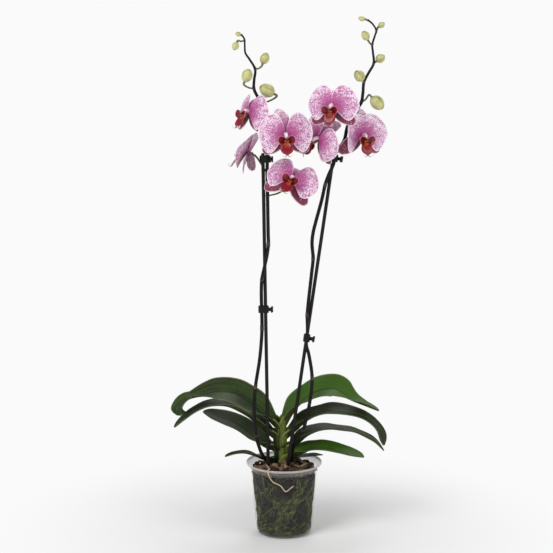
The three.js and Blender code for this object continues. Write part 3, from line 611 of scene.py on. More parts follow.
@dataclass(frozen=True)
class LeafTissue:
    """Live leaf: thick leathery tissue under a waxy skin, which gives it a broad soft shine. Its colour also holds
    painted light: a pale highlight along its edges, painted shade in its midrib's crease and a lit share that
    brightens it.
    """

    name: str
    dark: str
    light: str
    brightest: str
    margin: str
    roughness: float
    gloss: float
    vein_mm: tuple[float, float] = (100.0, 2.2)
    cloud_mm: float = 28.6
    skin_mm: float = 1.11

    def build(self) -> bpy.types.Material:
        """Builds the material.

        Returns:
            The leaf's material.
        """
        tree = NodeTree(bpy.data.materials.new(self.name))
        add = tree.add
        place = add("Attribute", {"attribute_name": "vein"}, "Vector")
        across, lit = (add("Attribute", {"attribute_name": name}, "Fac") for name in ("across", "lit"))
        size = (1 / self.vein_mm[0], 1 / self.vein_mm[1], 1.0)
        lines = add("VectorMath", {"operation": "MULTIPLY", 0: place, 1: size})
        veins = add("TexNoise", {"Scale": 1.0, "Detail": 2.0, "Vector": lines})
        cloud = add("TexNoise", {"Scale": 1 / self.cloud_mm, "Detail": 4.0, "Vector": place})
        # The lit value adds painted light, brightening the green of leaves that catch more light.
        tone = add("Math", {"operation": "MULTIPLY_ADD", 0: veins, 1: 0.9, 2: lit})
        tone = add("Math", {"operation": "MULTIPLY_ADD", 0: cloud, 1: 0.4, 2: tone})
        colour = add("ValToRGB", {"stops": [(0.4, self.dark), (0.72, self.light), (1.0, self.brightest)], "Fac": tone})
        # Painted shade: the midrib's crease is darkened towards the dark green.
        middle = add("MapRange", {**SOFT, "Value": across, "From Min": 0.02, "From Max": 0.09, "To Min": 0.55,
                                  "To Max": 0.0})
        colour = add("Mix", {**COLOURS, 0: middle, 6: colour, 7: linear(self.dark)}, 2)
        # Painted highlight: a pale line along the leaf's edges, standing in for edge light.
        edge = add("MapRange", {**SOFT, "Value": across, "From Min": 0.9, "From Max": 1.0, "To Max": 0.6})
        colour = add("Mix", {**COLOURS, 0: edge, 6: colour, 7: linear(self.margin)}, 2)
        skin_grain = add("TexNoise", {"Scale": 1 / self.skin_mm, "Detail": 3.0, "Vector": place})
        relief = add("Math", {"operation": "MULTIPLY_ADD", 0: skin_grain, 1: 0.35, 2: veins})
        bump = add("Bump", {"Strength": 0.22, "Distance": 0.0008, "Height": relief})
        rough = add("MapRange", {"Value": cloud, "To Min": self.roughness - 0.06, "To Max": self.roughness + 0.12})
        shader = add("BsdfPrincipled", {"Base Color": colour, "Normal": bump, "Roughness": rough, "IOR": 1.4,
                                        "Specular IOR Level": self.gloss})
        add("OutputMaterial", {"Surface": shader})
        return tree.owner


@dataclass(frozen=True)
class StemTissue:
    """Live stem or root: smooth skin with fine lines along it, paler in patches, and silver-tan where dry."""

    name: str
    base: str
    patch: str
    roughness: float = 0.42
    patch_mm: float = 14.0
    bump: float = 0.25
    gloss: float = 0.5
    dry: str | None = None
    silver: str = "8F8C7A"
    fine_mm: float = 1.11

    def build(self) -> bpy.types.Material:
        """Builds the material.

        Returns:
            The stem's material.
        """
        tree = NodeTree(bpy.data.materials.new(self.name))
        add = tree.add
        along, tint = (add("Attribute", {"attribute_name": name}, "Fac") for name in ("along", "tint"))
        place = add("TexCoord", {}, "Object")
        cloud = add("TexNoise", {"Scale": 1 / (self.patch_mm * MM), "Detail": 4.0, "Vector": place})
        share = add("Math", {"operation": "ADD", 0: cloud, 1: tint})
        colour = add("ValToRGB", {"stops": [(0.42, self.base), (0.95, self.patch)], "Fac": share})
        if self.dry:
            parched = add("Mix", {**COLOURS, 0: cloud, 6: linear(self.dry), 7: linear(self.silver)}, 2)
            dryness = add("Attribute", {"attribute_name": "dry"}, "Fac")
            colour = add("Mix", {**COLOURS, 0: dryness, 6: colour, 7: parched}, 2)
        fine = add("TexNoise", {"Scale": 1 / (self.fine_mm * MM), "Detail": 3.0, "Vector": place})
        lines = add("Math", {"operation": "MULTIPLY_ADD", 0: along, 1: 0.02, 2: fine})
        bump = add("Bump", {"Strength": self.bump, "Distance": 0.0004, "Height": lines})
        shader = add("BsdfPrincipled", {"Base Color": colour, "Normal": bump, "Roughness": self.roughness,
                                        "IOR": 1.45, "Specular IOR Level": self.gloss})
        add("OutputMaterial", {"Surface": shader})
        return tree.owner


@dataclass(frozen=True)
class BudTissue:
    """Closed bud: waxy yellow-green sepals, darker in their seams and flushed pink at the tip."""

    name: str
    light: str
    dark: str
    flush: str
    cloud_mm: float = 11.1

    def build(self) -> bpy.types.Material:
        """Builds the material.

        Returns:
            The bud's material.
        """
        tree = NodeTree(bpy.data.materials.new(self.name))
        add = tree.add
        along, seam = (add("Attribute", {"attribute_name": name}, "Fac") for name in ("along", "seam"))
        place = add("TexCoord", {}, "Object")
        cloud = add("TexNoise", {"Scale": 1 / (self.cloud_mm * MM), "Detail": 3.0, "Vector": place})
        shade = add("Math", {"operation": "MULTIPLY_ADD", 0: seam, 1: 0.22, 2: cloud})
        colour = add("ValToRGB", {"stops": [(0.45, self.light), (0.9583, self.dark)], "Fac": shade})
        tip = add("MapRange", {**SOFT, "Value": along, "From Min": 0.9, "From Max": 1.0, "To Max": 0.75})
        colour = add("Mix", {**COLOURS, 0: tip, 6: colour, 7: linear(self.flush)}, 2)
        foot = add("MapRange", {**SOFT, "Value": along, "From Min": 0.12, "From Max": 0.0, "To Max": 0.6})
        colour = add("Mix", {**COLOURS, 0: foot, 6: colour, 7: linear(self.dark)}, 2)
        bump = add("Bump", {"Strength": 0.15, "Distance": 0.0004, "Height": cloud})
        shader = add("BsdfPrincipled", {
            "Base Color": colour, "Normal": bump, "Roughness": 0.4, "IOR": 1.45, "Subsurface Weight": 0.12,
            "Subsurface Scale": 0.002, "Subsurface Radius": (1.0, 1.0, 0.4)})
        add("OutputMaterial", {"Surface": shader})
        return tree.owner


@dataclass(frozen=True)
class PottedChips:
    """Pine bark: flaky and matt, with each chip a little different in tone."""

    name: str
    dark: str
    light: str
    flake_mm: Point = (3.85, 3.85, 1.11)

    def build(self) -> bpy.types.Material:
        """Builds the material.

        Returns:
            The chips' material.
        """
        tree = NodeTree(bpy.data.materials.new(self.name))
        add = tree.add
        tone, place = add("Attribute", {"attribute_name": "tint"}, "Fac"), add("TexCoord", {}, "Object")
        size = [1 / (flake * MM) for flake in self.flake_mm]
        layers = add("VectorMath", {"operation": "MULTIPLY", 0: place, 1: size})
        flake = add("TexNoise", {"Scale": 1.0, "Detail": 5.0, "Roughness": 0.65, "Vector": layers})
        share = add("Math", {"operation": "MULTIPLY_ADD", 0: flake, 1: 0.7, 2: tone})
        colour = add("ValToRGB", {"stops": [(0.35, self.dark), (1.0, self.light)], "Fac": share})
        bump = add("Bump", {"Strength": 0.8, "Distance": 0.0012, "Height": flake})
        shader = add("BsdfPrincipled", {"Base Color": colour, "Normal": bump, "Roughness": 0.85, "IOR": 1.45})
        add("OutputMaterial", {"Surface": shader})
        return tree.owner


@dataclass(frozen=True)
class MouldedPlastic:
    """Moulded plastic, such as polypropylene: an even colour with the faint ripple and scuffs of use."""

    name: str
    colour: str
    worn: str
    roughness: float
    scuff_mm: float = 6.25

    def build(self) -> bpy.types.Material:
        """Builds the material.

        Returns:
            The plastic's material.
        """
        tree = NodeTree(bpy.data.materials.new(self.name))
        add = tree.add
        place = add("TexCoord", {}, "Object")
        scale = 1 / (self.scuff_mm * MM)
        scuff = add("TexNoise", {"Scale": scale, "Detail": 5.0, "Roughness": 0.7, "Vector": place})
        colour = add("ValToRGB", {"stops": [(0.45, self.colour), (0.85, self.worn)], "Fac": scuff})
        rough = add("MapRange", {"Value": scuff, "To Min": self.roughness - 0.08, "To Max": self.roughness + 0.15})
        bump = add("Bump", {"Strength": 0.12, "Distance": 0.0004, "Height": scuff})
        shader = add("BsdfPrincipled", {"Base Color": colour, "Roughness": rough, "Normal": bump, "IOR": 1.49,
                                        "Specular IOR Level": 0.25})
        add("OutputMaterial", {"Surface": shader})
        return tree.owner


@dataclass(frozen=True)
class ClearPlastic:
    """Clear injection-moulded polypropylene: a milky haze, thicker and lighter at the rim, where the lighter colour
    is partly painted highlight, with scuffs and water marks.
    """

    name: str
    haze: str
    lip: str
    clearest: float
    milkiest: float
    film_mm: Point = (11.1, 11.1, 71.4)

    def build(self) -> bpy.types.Material:
        """Builds the material.

        Returns:
            The clear wall's material.
        """
        tree = NodeTree(bpy.data.materials.new(self.name))
        add = tree.add
        place, milk = add("TexCoord", {}, "Object"), add("Attribute", {"attribute_name": "milk"}, "Fac")
        size = [1 / (film * MM) for film in self.film_mm]
        drips = add("VectorMath", {"operation": "MULTIPLY", 0: place, 1: size})
        film = add("TexNoise", {"Scale": 1.0, "Detail": 5.0, "Roughness": 0.6, "Vector": drips})
        share = add("MapRange", {"Value": film, "From Min": 0.35, "From Max": 0.75, "To Min": self.clearest,
                                 "To Max": self.clearest + 0.07})
        alpha = add("Mix", {"data_type": "FLOAT", 0: milk, 2: share, 3: self.milkiest})
        # Where the plastic is milkier the colour turns lighter; on the rolled lip that is partly a painted
        # highlight.
        colour = add("Mix", {**COLOURS, 0: milk, 6: linear(self.haze), 7: linear(self.lip)}, 2)
        bump = add("Bump", {"Strength": 0.08, "Distance": 0.0006, "Height": film})
        shader = add("BsdfPrincipled", {"Base Color": colour, "Alpha": alpha, "Normal": bump, "Roughness": 0.16,
                                        "IOR": 1.49})
        add("OutputMaterial", {"Surface": shader})
        return tree.owner


# Blooms, modelled facing the front (-Y), with the column's foot at the origin


@dataclass(frozen=True)
class Seat:
    """Where a bloom sits and the way that it faces, in millimetres and degrees.

    The sweep is how far its left petal, right petal and top sepal bend back. The lean is how far the petals'
    upper inner edges close in on each other. The nod is how far the top sepal turns aside, and full is how large
    its petals' upper and lower lobes are. The node is the height on the spike that its stalk grows from, and the
    bow is how far the stalk's middle is drawn aside to pass its stake.
    """

    at: Point
    yaw: float
    pitch: float
    roll: float
    size: float
    sweep: tuple[float, float, float]
    node: float
    lean: float = 10.0
    nod: float = 0.0
    full: tuple[float, float] = (1.0, 1.0)
    bow: Point = (0.0, 0.0, 0.0)

    def turn(self) -> Array:
        """Returns the bloom's rotation."""
        x, y, z = (math.radians(angle) for angle in (-self.pitch, self.roll, -self.yaw))
        return turned(z=z) @ turned(x=x) @ turned(y=y)


@dataclass(frozen=True)
class Tepal:
    """The size of a petal or sepal."""

    length: float
    upper: float
    lower: float
    half_thick: float = 0.32

    def thickness(self, u: Array, v: Array) -> Array:
        """Returns half its thickness at each place: thinner at its sides and tip."""
        return self.half_thick * (1 - 0.75 * np.abs(v) ** 8) * (1 - 0.7 * smooth(u, 0.95, 1))


def margins(middle: Array) -> Array:
    """Returns how far each place of a surface is from its free edge, which leaves its base row out.

    Args:
        middle: the surface's places, rows by columns by 3.

    Returns:
        The distances in millimetres, rows by columns.
    """
    edge = np.concatenate([middle[:, 0], middle[:, -1], middle[-1]])
    return np.sqrt(((middle[:, :, None] - edge[None, None]) ** 2).sum(-1)).min(-1)


@dataclass
class Bloom:
    """One open flower: two petals, three sepals, the column and the lip."""

    name: str
    seat: Seat
    seed: float
    broad: Tepal = Tepal(43, 33, 27)
    dorsal: Tepal = Tepal(41, 13.5, 13.5, 0.36)
    lateral: Tepal = Tepal(45, 13, 13, 0.36)
    lateral_splay: float = 52
    lateral_sweep: float = 14
    heart: Point = (0.0, -7.5, -10.0)
    shield: float = 10.0
    cup: float = 9.5

    # The lip's outline, as its reach at angles in degrees from straight down.
    LOBES = [(0, 20.5), (13, 19.3), (30, 17.5), (44, 14.5), (58, 10.5), (78, 13.2), (100, 16), (122, 15.5),
             (140, 12), (154, 7.5), (166, 4.5)]

    @staticmethod
    def lattice(columns: int) -> tuple[Array, Array]:
        """Returns the shares along a petal or sepal as a column, and the places across it as a row."""
        return spaced(34, 0.75)[:, None], lerp(-1, 1, spaced(columns, 0.35))[None, :]

    def petal(self, form: Form, hand: Hand, sweep: float) -> None:
        """Adds a broad petal: a claw, a high upper lobe beside the top sepal and a rounder lower one.

        Args:
            form: what it is added to.
            hand: which side of the flower it is on.
            sweep: how far it bends back, in degrees.
        """
        u, v = self.lattice(29)
        close = 1 - smooth(u, 0.93, 1)
        upper = lerp(0.09 * close, 1, np.sin(math.pi * u**0.76) ** (1 - 0.35 * u))
        lower = lerp(0.1 * close, 1, np.sin(math.pi * u**1.1))
        size = self.broad
        away = np.radians(sweep * u)
        reach = size.length * u**0.85
        above, below = self.seat.full
        z = v * np.where(v > 0, above * size.upper * upper, below * size.lower * lower)
        ruffle = 1.6 * np.abs(v) ** 3 * np.sin(7 * u + hand.value + self.seed)
        crease = -0.9 * np.exp(-(z / 2.2) ** 2) * np.sin(math.pi * u) * (1 - u)
        back = reach * np.sin(away) + 0.0035 * z * z - 1.2 + ruffle - crease
        closing = self.seat.lean * np.maximum(z, 0) / size.upper * (1 - u) ** 2
        side = hand.value * (1.5 + reach * np.cos(away) - closing)
        middle = np.stack(np.broadcast_arrays(side, back, z + 0.5), axis=-1)
        far = np.hypot(reach, z)
        turn = np.arctan2(z, reach + 1e-6)
        sideways = turn * 25 * (far / 25) ** 0.75
        vein = np.stack(np.broadcast_arrays(far, sideways, self.seed * 9 + hand.value), axis=-1)
        blade(form, middle, size.thickness(u, v), hand.value, reach=far, margin=margins(middle), vein=vein)

    def sepal(self, form: Form, size: Tepal, sweep: float, turn: float, slots: tuple[int, int]) -> None:
        """Adds a sepal: an oval tepal behind the petals, turned about the flower's axis from straight up.

        Args:
            form: what it is added to.
            size: its size.
            sweep: how far it bends back, in degrees.
            turn: its turn in degrees.
            slots: the materials of its front, and of its back and rim.
        """
        u, v = self.lattice(15)
        close = 1 - smooth(u, 0.93, 1)
        away = np.radians(sweep * u)
        reach = size.length * u**0.9
        width = lerp(3 * close, size.upper, np.sin(math.pi * u**0.85) ** 0.75)
        keel = 0.8 * np.exp(-(v / 0.16) ** 2) * np.sin(math.pi * u)
        back = 1.4 + reach * np.sin(away) + 1.8 * v * v + keel + 0.5 * np.sin(5 * u + self.seed) * v
        upright = np.stack(np.broadcast_arrays(v * width, back, 1.5 + reach * np.cos(away)), axis=-1)
        middle = upright @ turned(y=math.radians(turn)).T
        vein = np.stack(np.broadcast_arrays(reach, v * width, self.seed * 7 + turn), axis=-1)
        blade(form, middle, size.thickness(u, v), -1, slots, reach=reach, margin=margins(middle), vein=vein)

    def column(self, form: Form) -> None:
        """Adds the column, with the rounded anther cap at its end.

        Args:
            form: what it is added to.
        """
        u = np.linspace(0, 1, 22)
        path = Spline([(0, 4, -0.5), (0, -1, 0.6), (0, -6, 1.2), (0, -9.6, -0.6), (0, -11, -2.6)]).at(u)
        radii = 3.4 * lerp(1.05, 0.74, smooth(u)) * (1 + 0.08 * np.exp(-((u - 0.88) / 0.09) ** 2))
        tube(form, path, radii, 18, along=u)

    def lobes(self, form: Form) -> None:
        """Adds the lip's lobes as one blade: two round ones that cup the column, and a pointed shield.

        Args:
            form: what it is added to.
        """
        u = lerp(0.03, 1, spaced(20, 0.2))[:, None]
        s = np.linspace(-1, 1, 101)
        outline = Spline([(turn, 0, reach) for turn, reach in self.LOBES]).knot(np.abs(s))
        turn, reach = np.radians(outline[:, 0] * np.sign(s)), outline[:, 2]
        side = smooth(np.abs(turn), math.radians(46), math.radians(84))
        x = u * reach * np.sin(turn) * (1 - 0.12 * side * u * u)
        shield = self.shield * np.sin(u * math.pi / 2) - 2.5 * (turn / math.radians(40)) ** 2 * u
        keel = 0.9 * np.exp(-(x / 1.6) ** 2) * u * (1 - u)
        cup = self.cup * u**1.7 + 0.4 * np.sin(5 * turn + self.seed) * u**3
        y = self.heart[1] - lerp(shield + keel, cup, side)
        middle = np.stack([x, y, self.heart[2] - u * reach * np.cos(turn)], -1)
        half = 0.5 * (1 - 0.6 * u**8)
        warm = (1 - smooth(u, 0.12, 0.5)) * (1 - 0.7 * side)
        edge = 0.45 * smooth(u, 0.92, 1) * side
        # Painted shade inside the cupped side lobes, strongest near the column.
        deep = 0.85 * side * (1 - smooth(u, 0.3, 0.9))
        blade(form, middle, half, vein=middle + self.seed, throat=warm, margin=edge, deep=deep)

    def throat(self, form: Form) -> None:
        """Adds the claw under the column, the two-toothed callus on it and the two tendrils.

        Args:
            form: what it is added to.
        """
        claw = Spline([(0, -3.2, -3.75), (0, -8, -9.5)]).at(np.linspace(0, 1, 8))
        # The claw under the column takes some painted shade.
        tube(form, claw, np.linspace(2, 2.6, 8), 14, vein=np.zeros(3), throat=0.3, margin=0.1, deep=0.4)
        for hand in Hand:
            tooth = Spline([(1.3 * hand.value, -7.5, -8.6), (2.1 * hand.value, -10.6, -8.4),
                            (2.5 * hand.value, -13.2, -9.4)]).at(np.linspace(0, 1, 9))
            tube(form, tooth, np.linspace(1.9, 0.9, 9), 12, vein=np.zeros(3), throat=1.0, margin=0.0, deep=0.0)
            places = [(0, -17, -29.5), (3, -18.6, -32.8), (7, -21, -31.5), (7, -22.4, -28)]
            curl = Spline([(x * hand.value, y, z) for x, y, z in places]).at(np.linspace(0, 1, 20))
            pale = smooth(np.linspace(0, 1, 20), 0.1, 0.6)
            tube(form, curl, np.linspace(0.8, 0.3, 20), 8, vein=np.zeros(3), throat=0.0, margin=pale, deep=0.0)

    def build(self) -> None:
        """Makes the bloom's pieces and puts them in their place."""
        left, right, top = self.seat.sweep
        petals, sepals, column, lip = Form(), Form(), Form(), Form()
        self.petal(petals, Hand.LEFT, left)
        self.petal(petals, Hand.RIGHT, right)
        self.sepal(sepals, self.dorsal, top, self.seat.nod, (0, 1))
        for turn in (180 - self.lateral_splay, 180 + self.lateral_splay):
            self.sepal(sepals, self.lateral, self.lateral_sweep, turn, (2, 3))
        self.column(column)
        self.lobes(lip)
        self.throat(lip)
        for form in (petals, sepals, column, lip):
            form.place(self.seat.turn(), self.seat.size, self.seat.at)
        node = ["bloom_" + self.name]
        petals.piece("petals_" + self.name, ["petal", "petal_back"], node, "petal")
        low = ["sepal_low", "sepal_low_back"]
        sepals.piece("sepals_" + self.name, ["sepal", "petal_back", *low], node, "petal")
        column.piece("column_" + self.name, ["column"], node, "petal")
        lip.piece("labellum_" + self.name, ["lip", "lip_back"], ["lip_" + self.name], "lip")


SEATS = {
    "left_1": Seat((11.5, -32, 568), 0, 26, 24, 0.97, (18, 14, 52), 539, lean=5, full=(0.92, 0.84)),
    "left_2": Seat((-56, 8, 605), 104, 22, 0, 0.93, (-26, -12, 6), 574, bow=(3, 5, 0)),
    "left_3": Seat((2, -48, 635.9), -4, 0, -2, 0.97, (15, 15, 13), 640, lean=7, nod=-16, full=(1, 1.08)),
    "left_4": Seat((-54, -16, 668.3), 52, 16, 2, 0.9, (20, 14, 40), 684, full=(0.95, 1.05)),
    "right_1": Seat((51.5, -22, 629), 48, -5, 40, 0.94, (18, 6, 54), 612),
    "right_2": Seat((119, -25, 634), -24, 0, 0, 0.97, (-33, 4, 14), 645, lean=26),
    "right_3": Seat((70.7, -59, 679.5), 18, 4, 0, 0.93, (15, 15, 56), 660, lean=16, full=(1, 0.88)),
}


# Buds


@dataclass(frozen=True)
class Bud:
    """A closed bud: its middle, length and thickness, the way it points, and the height of its node."""

    name: str
    at: Point
    long: float
    wide: float
    points: Point
    node: float

    # Radii and heights, as shares of the bud's thickness and length.
    OUTLINE = [(0.0, -0.5), (0.16, -0.485), (0.3, -0.42), (0.43, -0.28), (0.5, -0.08), (0.49, 0.07), (0.43, 0.22),
               (0.31, 0.36), (0.17, 0.45), (0.05, 0.495), (0.0, 0.5)]

    def facing(self) -> Array:
        """Returns the direction that the bud points in."""
        return unit(np.array(self.points, float))

    def build(self) -> None:
        """Makes the bud: three closed sepals, which meet in three shallow seams."""
        profile = Spline([(radius, 0, z) for radius, z in self.OUTLINE]).at(spaced(26, 0.2))
        sides = 36
        turn = around(sides)
        seam = np.exp(-(((turn * 3 / (2 * math.pi)) % 1 - 0.5) / 0.1) ** 2)[None, :]
        u = (profile[:, 2] + 0.5)[:, None]
        radius = np.maximum(profile[:, 0], 0.004)[:, None] * self.wide * (1 - 0.06 * seam * smooth(u, 0.05, 0.5))
        rise = np.repeat((u - 0.5) * self.long, sides, 1)
        rings = np.stack([radius * np.cos(turn), radius * np.sin(turn), rise], -1)
        form = Form()
        form.add(rings, skin(len(u), sides), along=np.repeat(u, sides, 1),
                 seam=np.repeat(seam, len(u), 0) * smooth(u, 0.0, 0.4))
        upright = Vector((0, 0, 1)).rotation_difference(Vector(self.facing())).to_matrix()
        form.place(np.array(upright), 1.0, self.at)
        form.piece("bud_sepals_" + self.name, ["bud"], ["bud_" + self.name], "bud")


BUDS = [
    Bud("left_1", (-27, 18, 700), 25, 21, (-0.85, -0.2, 0.45), 682),
    Bud("left_2", (-57, 4, 723), 21, 17, (0.35, -0.3, 0.9), 703),
    Bud("left_3", (-30, 2, 749), 18, 14.5, (0.35, 0.1, 0.9), 733),
    Bud("left_4", (-74.5, -3, 767), 13, 11, (-0.4, -0.2, -0.9), 776),
    Bud("left_5", (-70.4, 2, 785.2), 8.5, 7.5, (-0.95, 0, 0.3), 783),
    Bud("right_1", (141, -18, 682), 25, 20, (0.6, -0.3, -0.6), 683),
    Bud("right_2", (113, -18, 723), 19, 16.5, (-0.55, -0.3, 0.75), 713),
    Bud("right_3", (145.5, -10, 749), 15, 14, (0.8, 0, 0.6), 741),
    Bud("right_4", (122, -15, 783), 15.5, 12.5, (-0.5, -0.2, 0.85), 769),
    Bud("right_5", (146.5, -11, 799), 10.5, 9.5, (0.8, 0, 0.6), 789),
    Bud("right_6", (116, -12, 808), 10, 7.5, (-1, 0, 0.15), 805),
]


# Stakes, clips and spikes

# From the middle of a stake to the middle of the spike that is clipped to it.
SIDE_BY_SIDE = 6.1


@dataclass(frozen=True)
class Stake:
    """A plant stake: a straight round rod with a rounded head."""

    hand: Hand
    foot: Point
    head: Point
    radius: float = 2.75

    def at(self, z: float) -> Array:
        """Returns the stake's middle at a height."""
        foot, head = np.array(self.foot, float), np.array(self.head, float)
        return foot + (head - foot) * (z - foot[2]) / (head[2] - foot[2])

    def beside(self, z: float, angle: float, distance: float = SIDE_BY_SIDE) -> Point:
        """Finds a place beside the stake.

        Args:
            z: its height.
            angle: its angle about the stake, in degrees from the right.
            distance: how far it is from the stake's middle.

        Returns:
            The place.
        """
        x, y, _ = self.at(z)
        turn = math.radians(angle)
        return (x + distance * math.cos(turn), y + distance * math.sin(turn), z)

    def build(self) -> None:
        """Makes the rod."""
        form = Form()
        tube(form, Spline([self.foot, self.head]).at(np.linspace(0, 1, 60)), self.radius, 24, ends=0.5)
        form.piece("stake_rod_" + self.hand.word, ["stake"], ["stake_" + self.hand.word], "stake")


LEFT_STAKE = Stake(Hand.LEFT, (-23.5, -6, 9), (-33, -6, 604))
RIGHT_STAKE = Stake(Hand.RIGHT, (-8.5, -6, 9), (75.8, -6, 604))


@dataclass(frozen=True)
class Clip:
    """A moulded clip round a stake and its spike, with two pinch tabs.

    The spike and the tabs each have a direction about the stake, in degrees from the right. The play is the room
    between the stake and the band.
    """

    name: str
    stake: Stake
    z: float
    spike_at: float
    tabs: float
    wall: float = 1.5
    height: float = 11.0
    grip: float = 6.0
    play: float = 1.05

    @property
    def inner(self) -> float:
        """The radius of the band's inside."""
        return self.stake.radius + self.play

    def band(self, form: Form) -> None:
        """Adds the oval band, a rounded strip swept round the stake and the spike.

        Args:
            form: what it is added to.
        """
        turn = np.radians(np.linspace(-90, 90, 14))
        middle = self.inner + self.wall / 2
        right = np.stack([SIDE_BY_SIDE + middle * np.cos(turn), middle * np.sin(turn)], -1)
        left = np.stack([-middle * np.cos(turn), -middle * np.sin(turn)], -1)
        loop = np.vstack([right, left])
        out = unit(np.stack([np.gradient(loop[:, 1]), -np.gradient(loop[:, 0])], -1))
        sides = 16
        corner = around(sides) + math.pi / sides
        round_x = np.sign(np.cos(corner)) * np.abs(np.cos(corner)) ** 0.55 * self.wall / 2
        round_z = np.sign(np.sin(corner)) * np.abs(np.sin(corner)) ** 0.28 * self.height / 2
        flat = loop[:, None] + out[:, None] * round_x[None, :, None]
        ring = np.concatenate([flat, np.broadcast_to(round_z[None, :, None], (*flat.shape[:2], 1))], -1)
        faces = grid(len(loop), sides, wrap=True)
        last = (len(loop) - 1) * sides
        faces += [(last + j, j, (j + 1) % sides, last + (j + 1) % sides) for j in range(sides)]
        form.add(ring, faces)

    def tab(self, form: Form, hand: Hand) -> None:
        """Adds one pinch tab: a short neck and a taller grip, both with soft corners.

        Args:
            form: what it is added to.
            hand: which of the two it is.
        """
        slant = abs(math.cos(math.radians(self.spike_at - self.tabs)))
        reach = self.inner + 0.5 * self.wall + 0.5 * SIDE_BY_SIDE * slant
        towards = math.radians(self.spike_at)
        middle = np.array([math.cos(towards), math.sin(towards), 0]) * SIDE_BY_SIDE / 2
        turn = turned(z=math.radians(self.tabs + 4 * hand.value))
        for size, x in (((self.grip + 1, 1.3, 0.45 * self.height), reach + self.grip / 2 - 0.5),
                        ((2.6, 1.8, 0.85 * self.height), reach + self.grip)):
            points, faces = soft_box(size, 0.45)
            local = (points + [x, hand.value * 1.5, 0]) @ turn.T + middle
            form.add(local @ turned(z=-towards).T, faces)

    def build(self) -> None:
        """Makes the clip in line with its stake."""
        form = Form()
        self.band(form)
        for hand in Hand:
            self.tab(form, hand)
        foot, head = self.stake.foot, self.stake.head
        lean = math.atan2(head[0] - foot[0], head[2] - foot[2])
        turn = turned(y=lean) @ turned(z=math.radians(self.spike_at))
        form.place(turn, 1.0, self.stake.at(self.z))
        form.piece("clip_body_" + self.name, ["clip"], ["clip_" + self.name], "clip")


def soft_box(size: Sequence[float], corner: float) -> tuple[Array, list[tuple[int, ...]]]:
    """Makes a box with rounded edges.

    Args:
        size: its width, depth and height.
        corner: the radius of its edges.

    Returns:
        Its vertices about its middle, and its faces.
    """
    steps, sides = 9, 24
    points = []
    for k in range(steps):
        lean = math.pi * (k / (steps - 1) - 0.5)
        radius = corner * max(math.cos(lean), 0.0)
        z = math.copysign(size[2] / 2 - corner + corner * abs(math.sin(lean)), math.sin(lean)) if k != 4 else 0.0
        for angle in around(sides) + math.pi / sides:
            x = math.copysign(size[0] / 2 - corner, math.cos(angle)) + radius * math.cos(angle)
            y = math.copysign(size[1] / 2 - corner, math.sin(angle)) + radius * math.sin(angle)
            points.append((x, y, z))
    return np.array(points), skin(steps, sides)


CLIPS = [
    Clip("left_low", LEFT_STAKE, 362, 180, -12),
    Clip("left_high", LEFT_STAKE, 596, 0, -40),
    Clip("right_low", RIGHT_STAKE, 317, -90, -15),
    Clip("right_high", RIGHT_STAKE, 598, -70, -25),
]


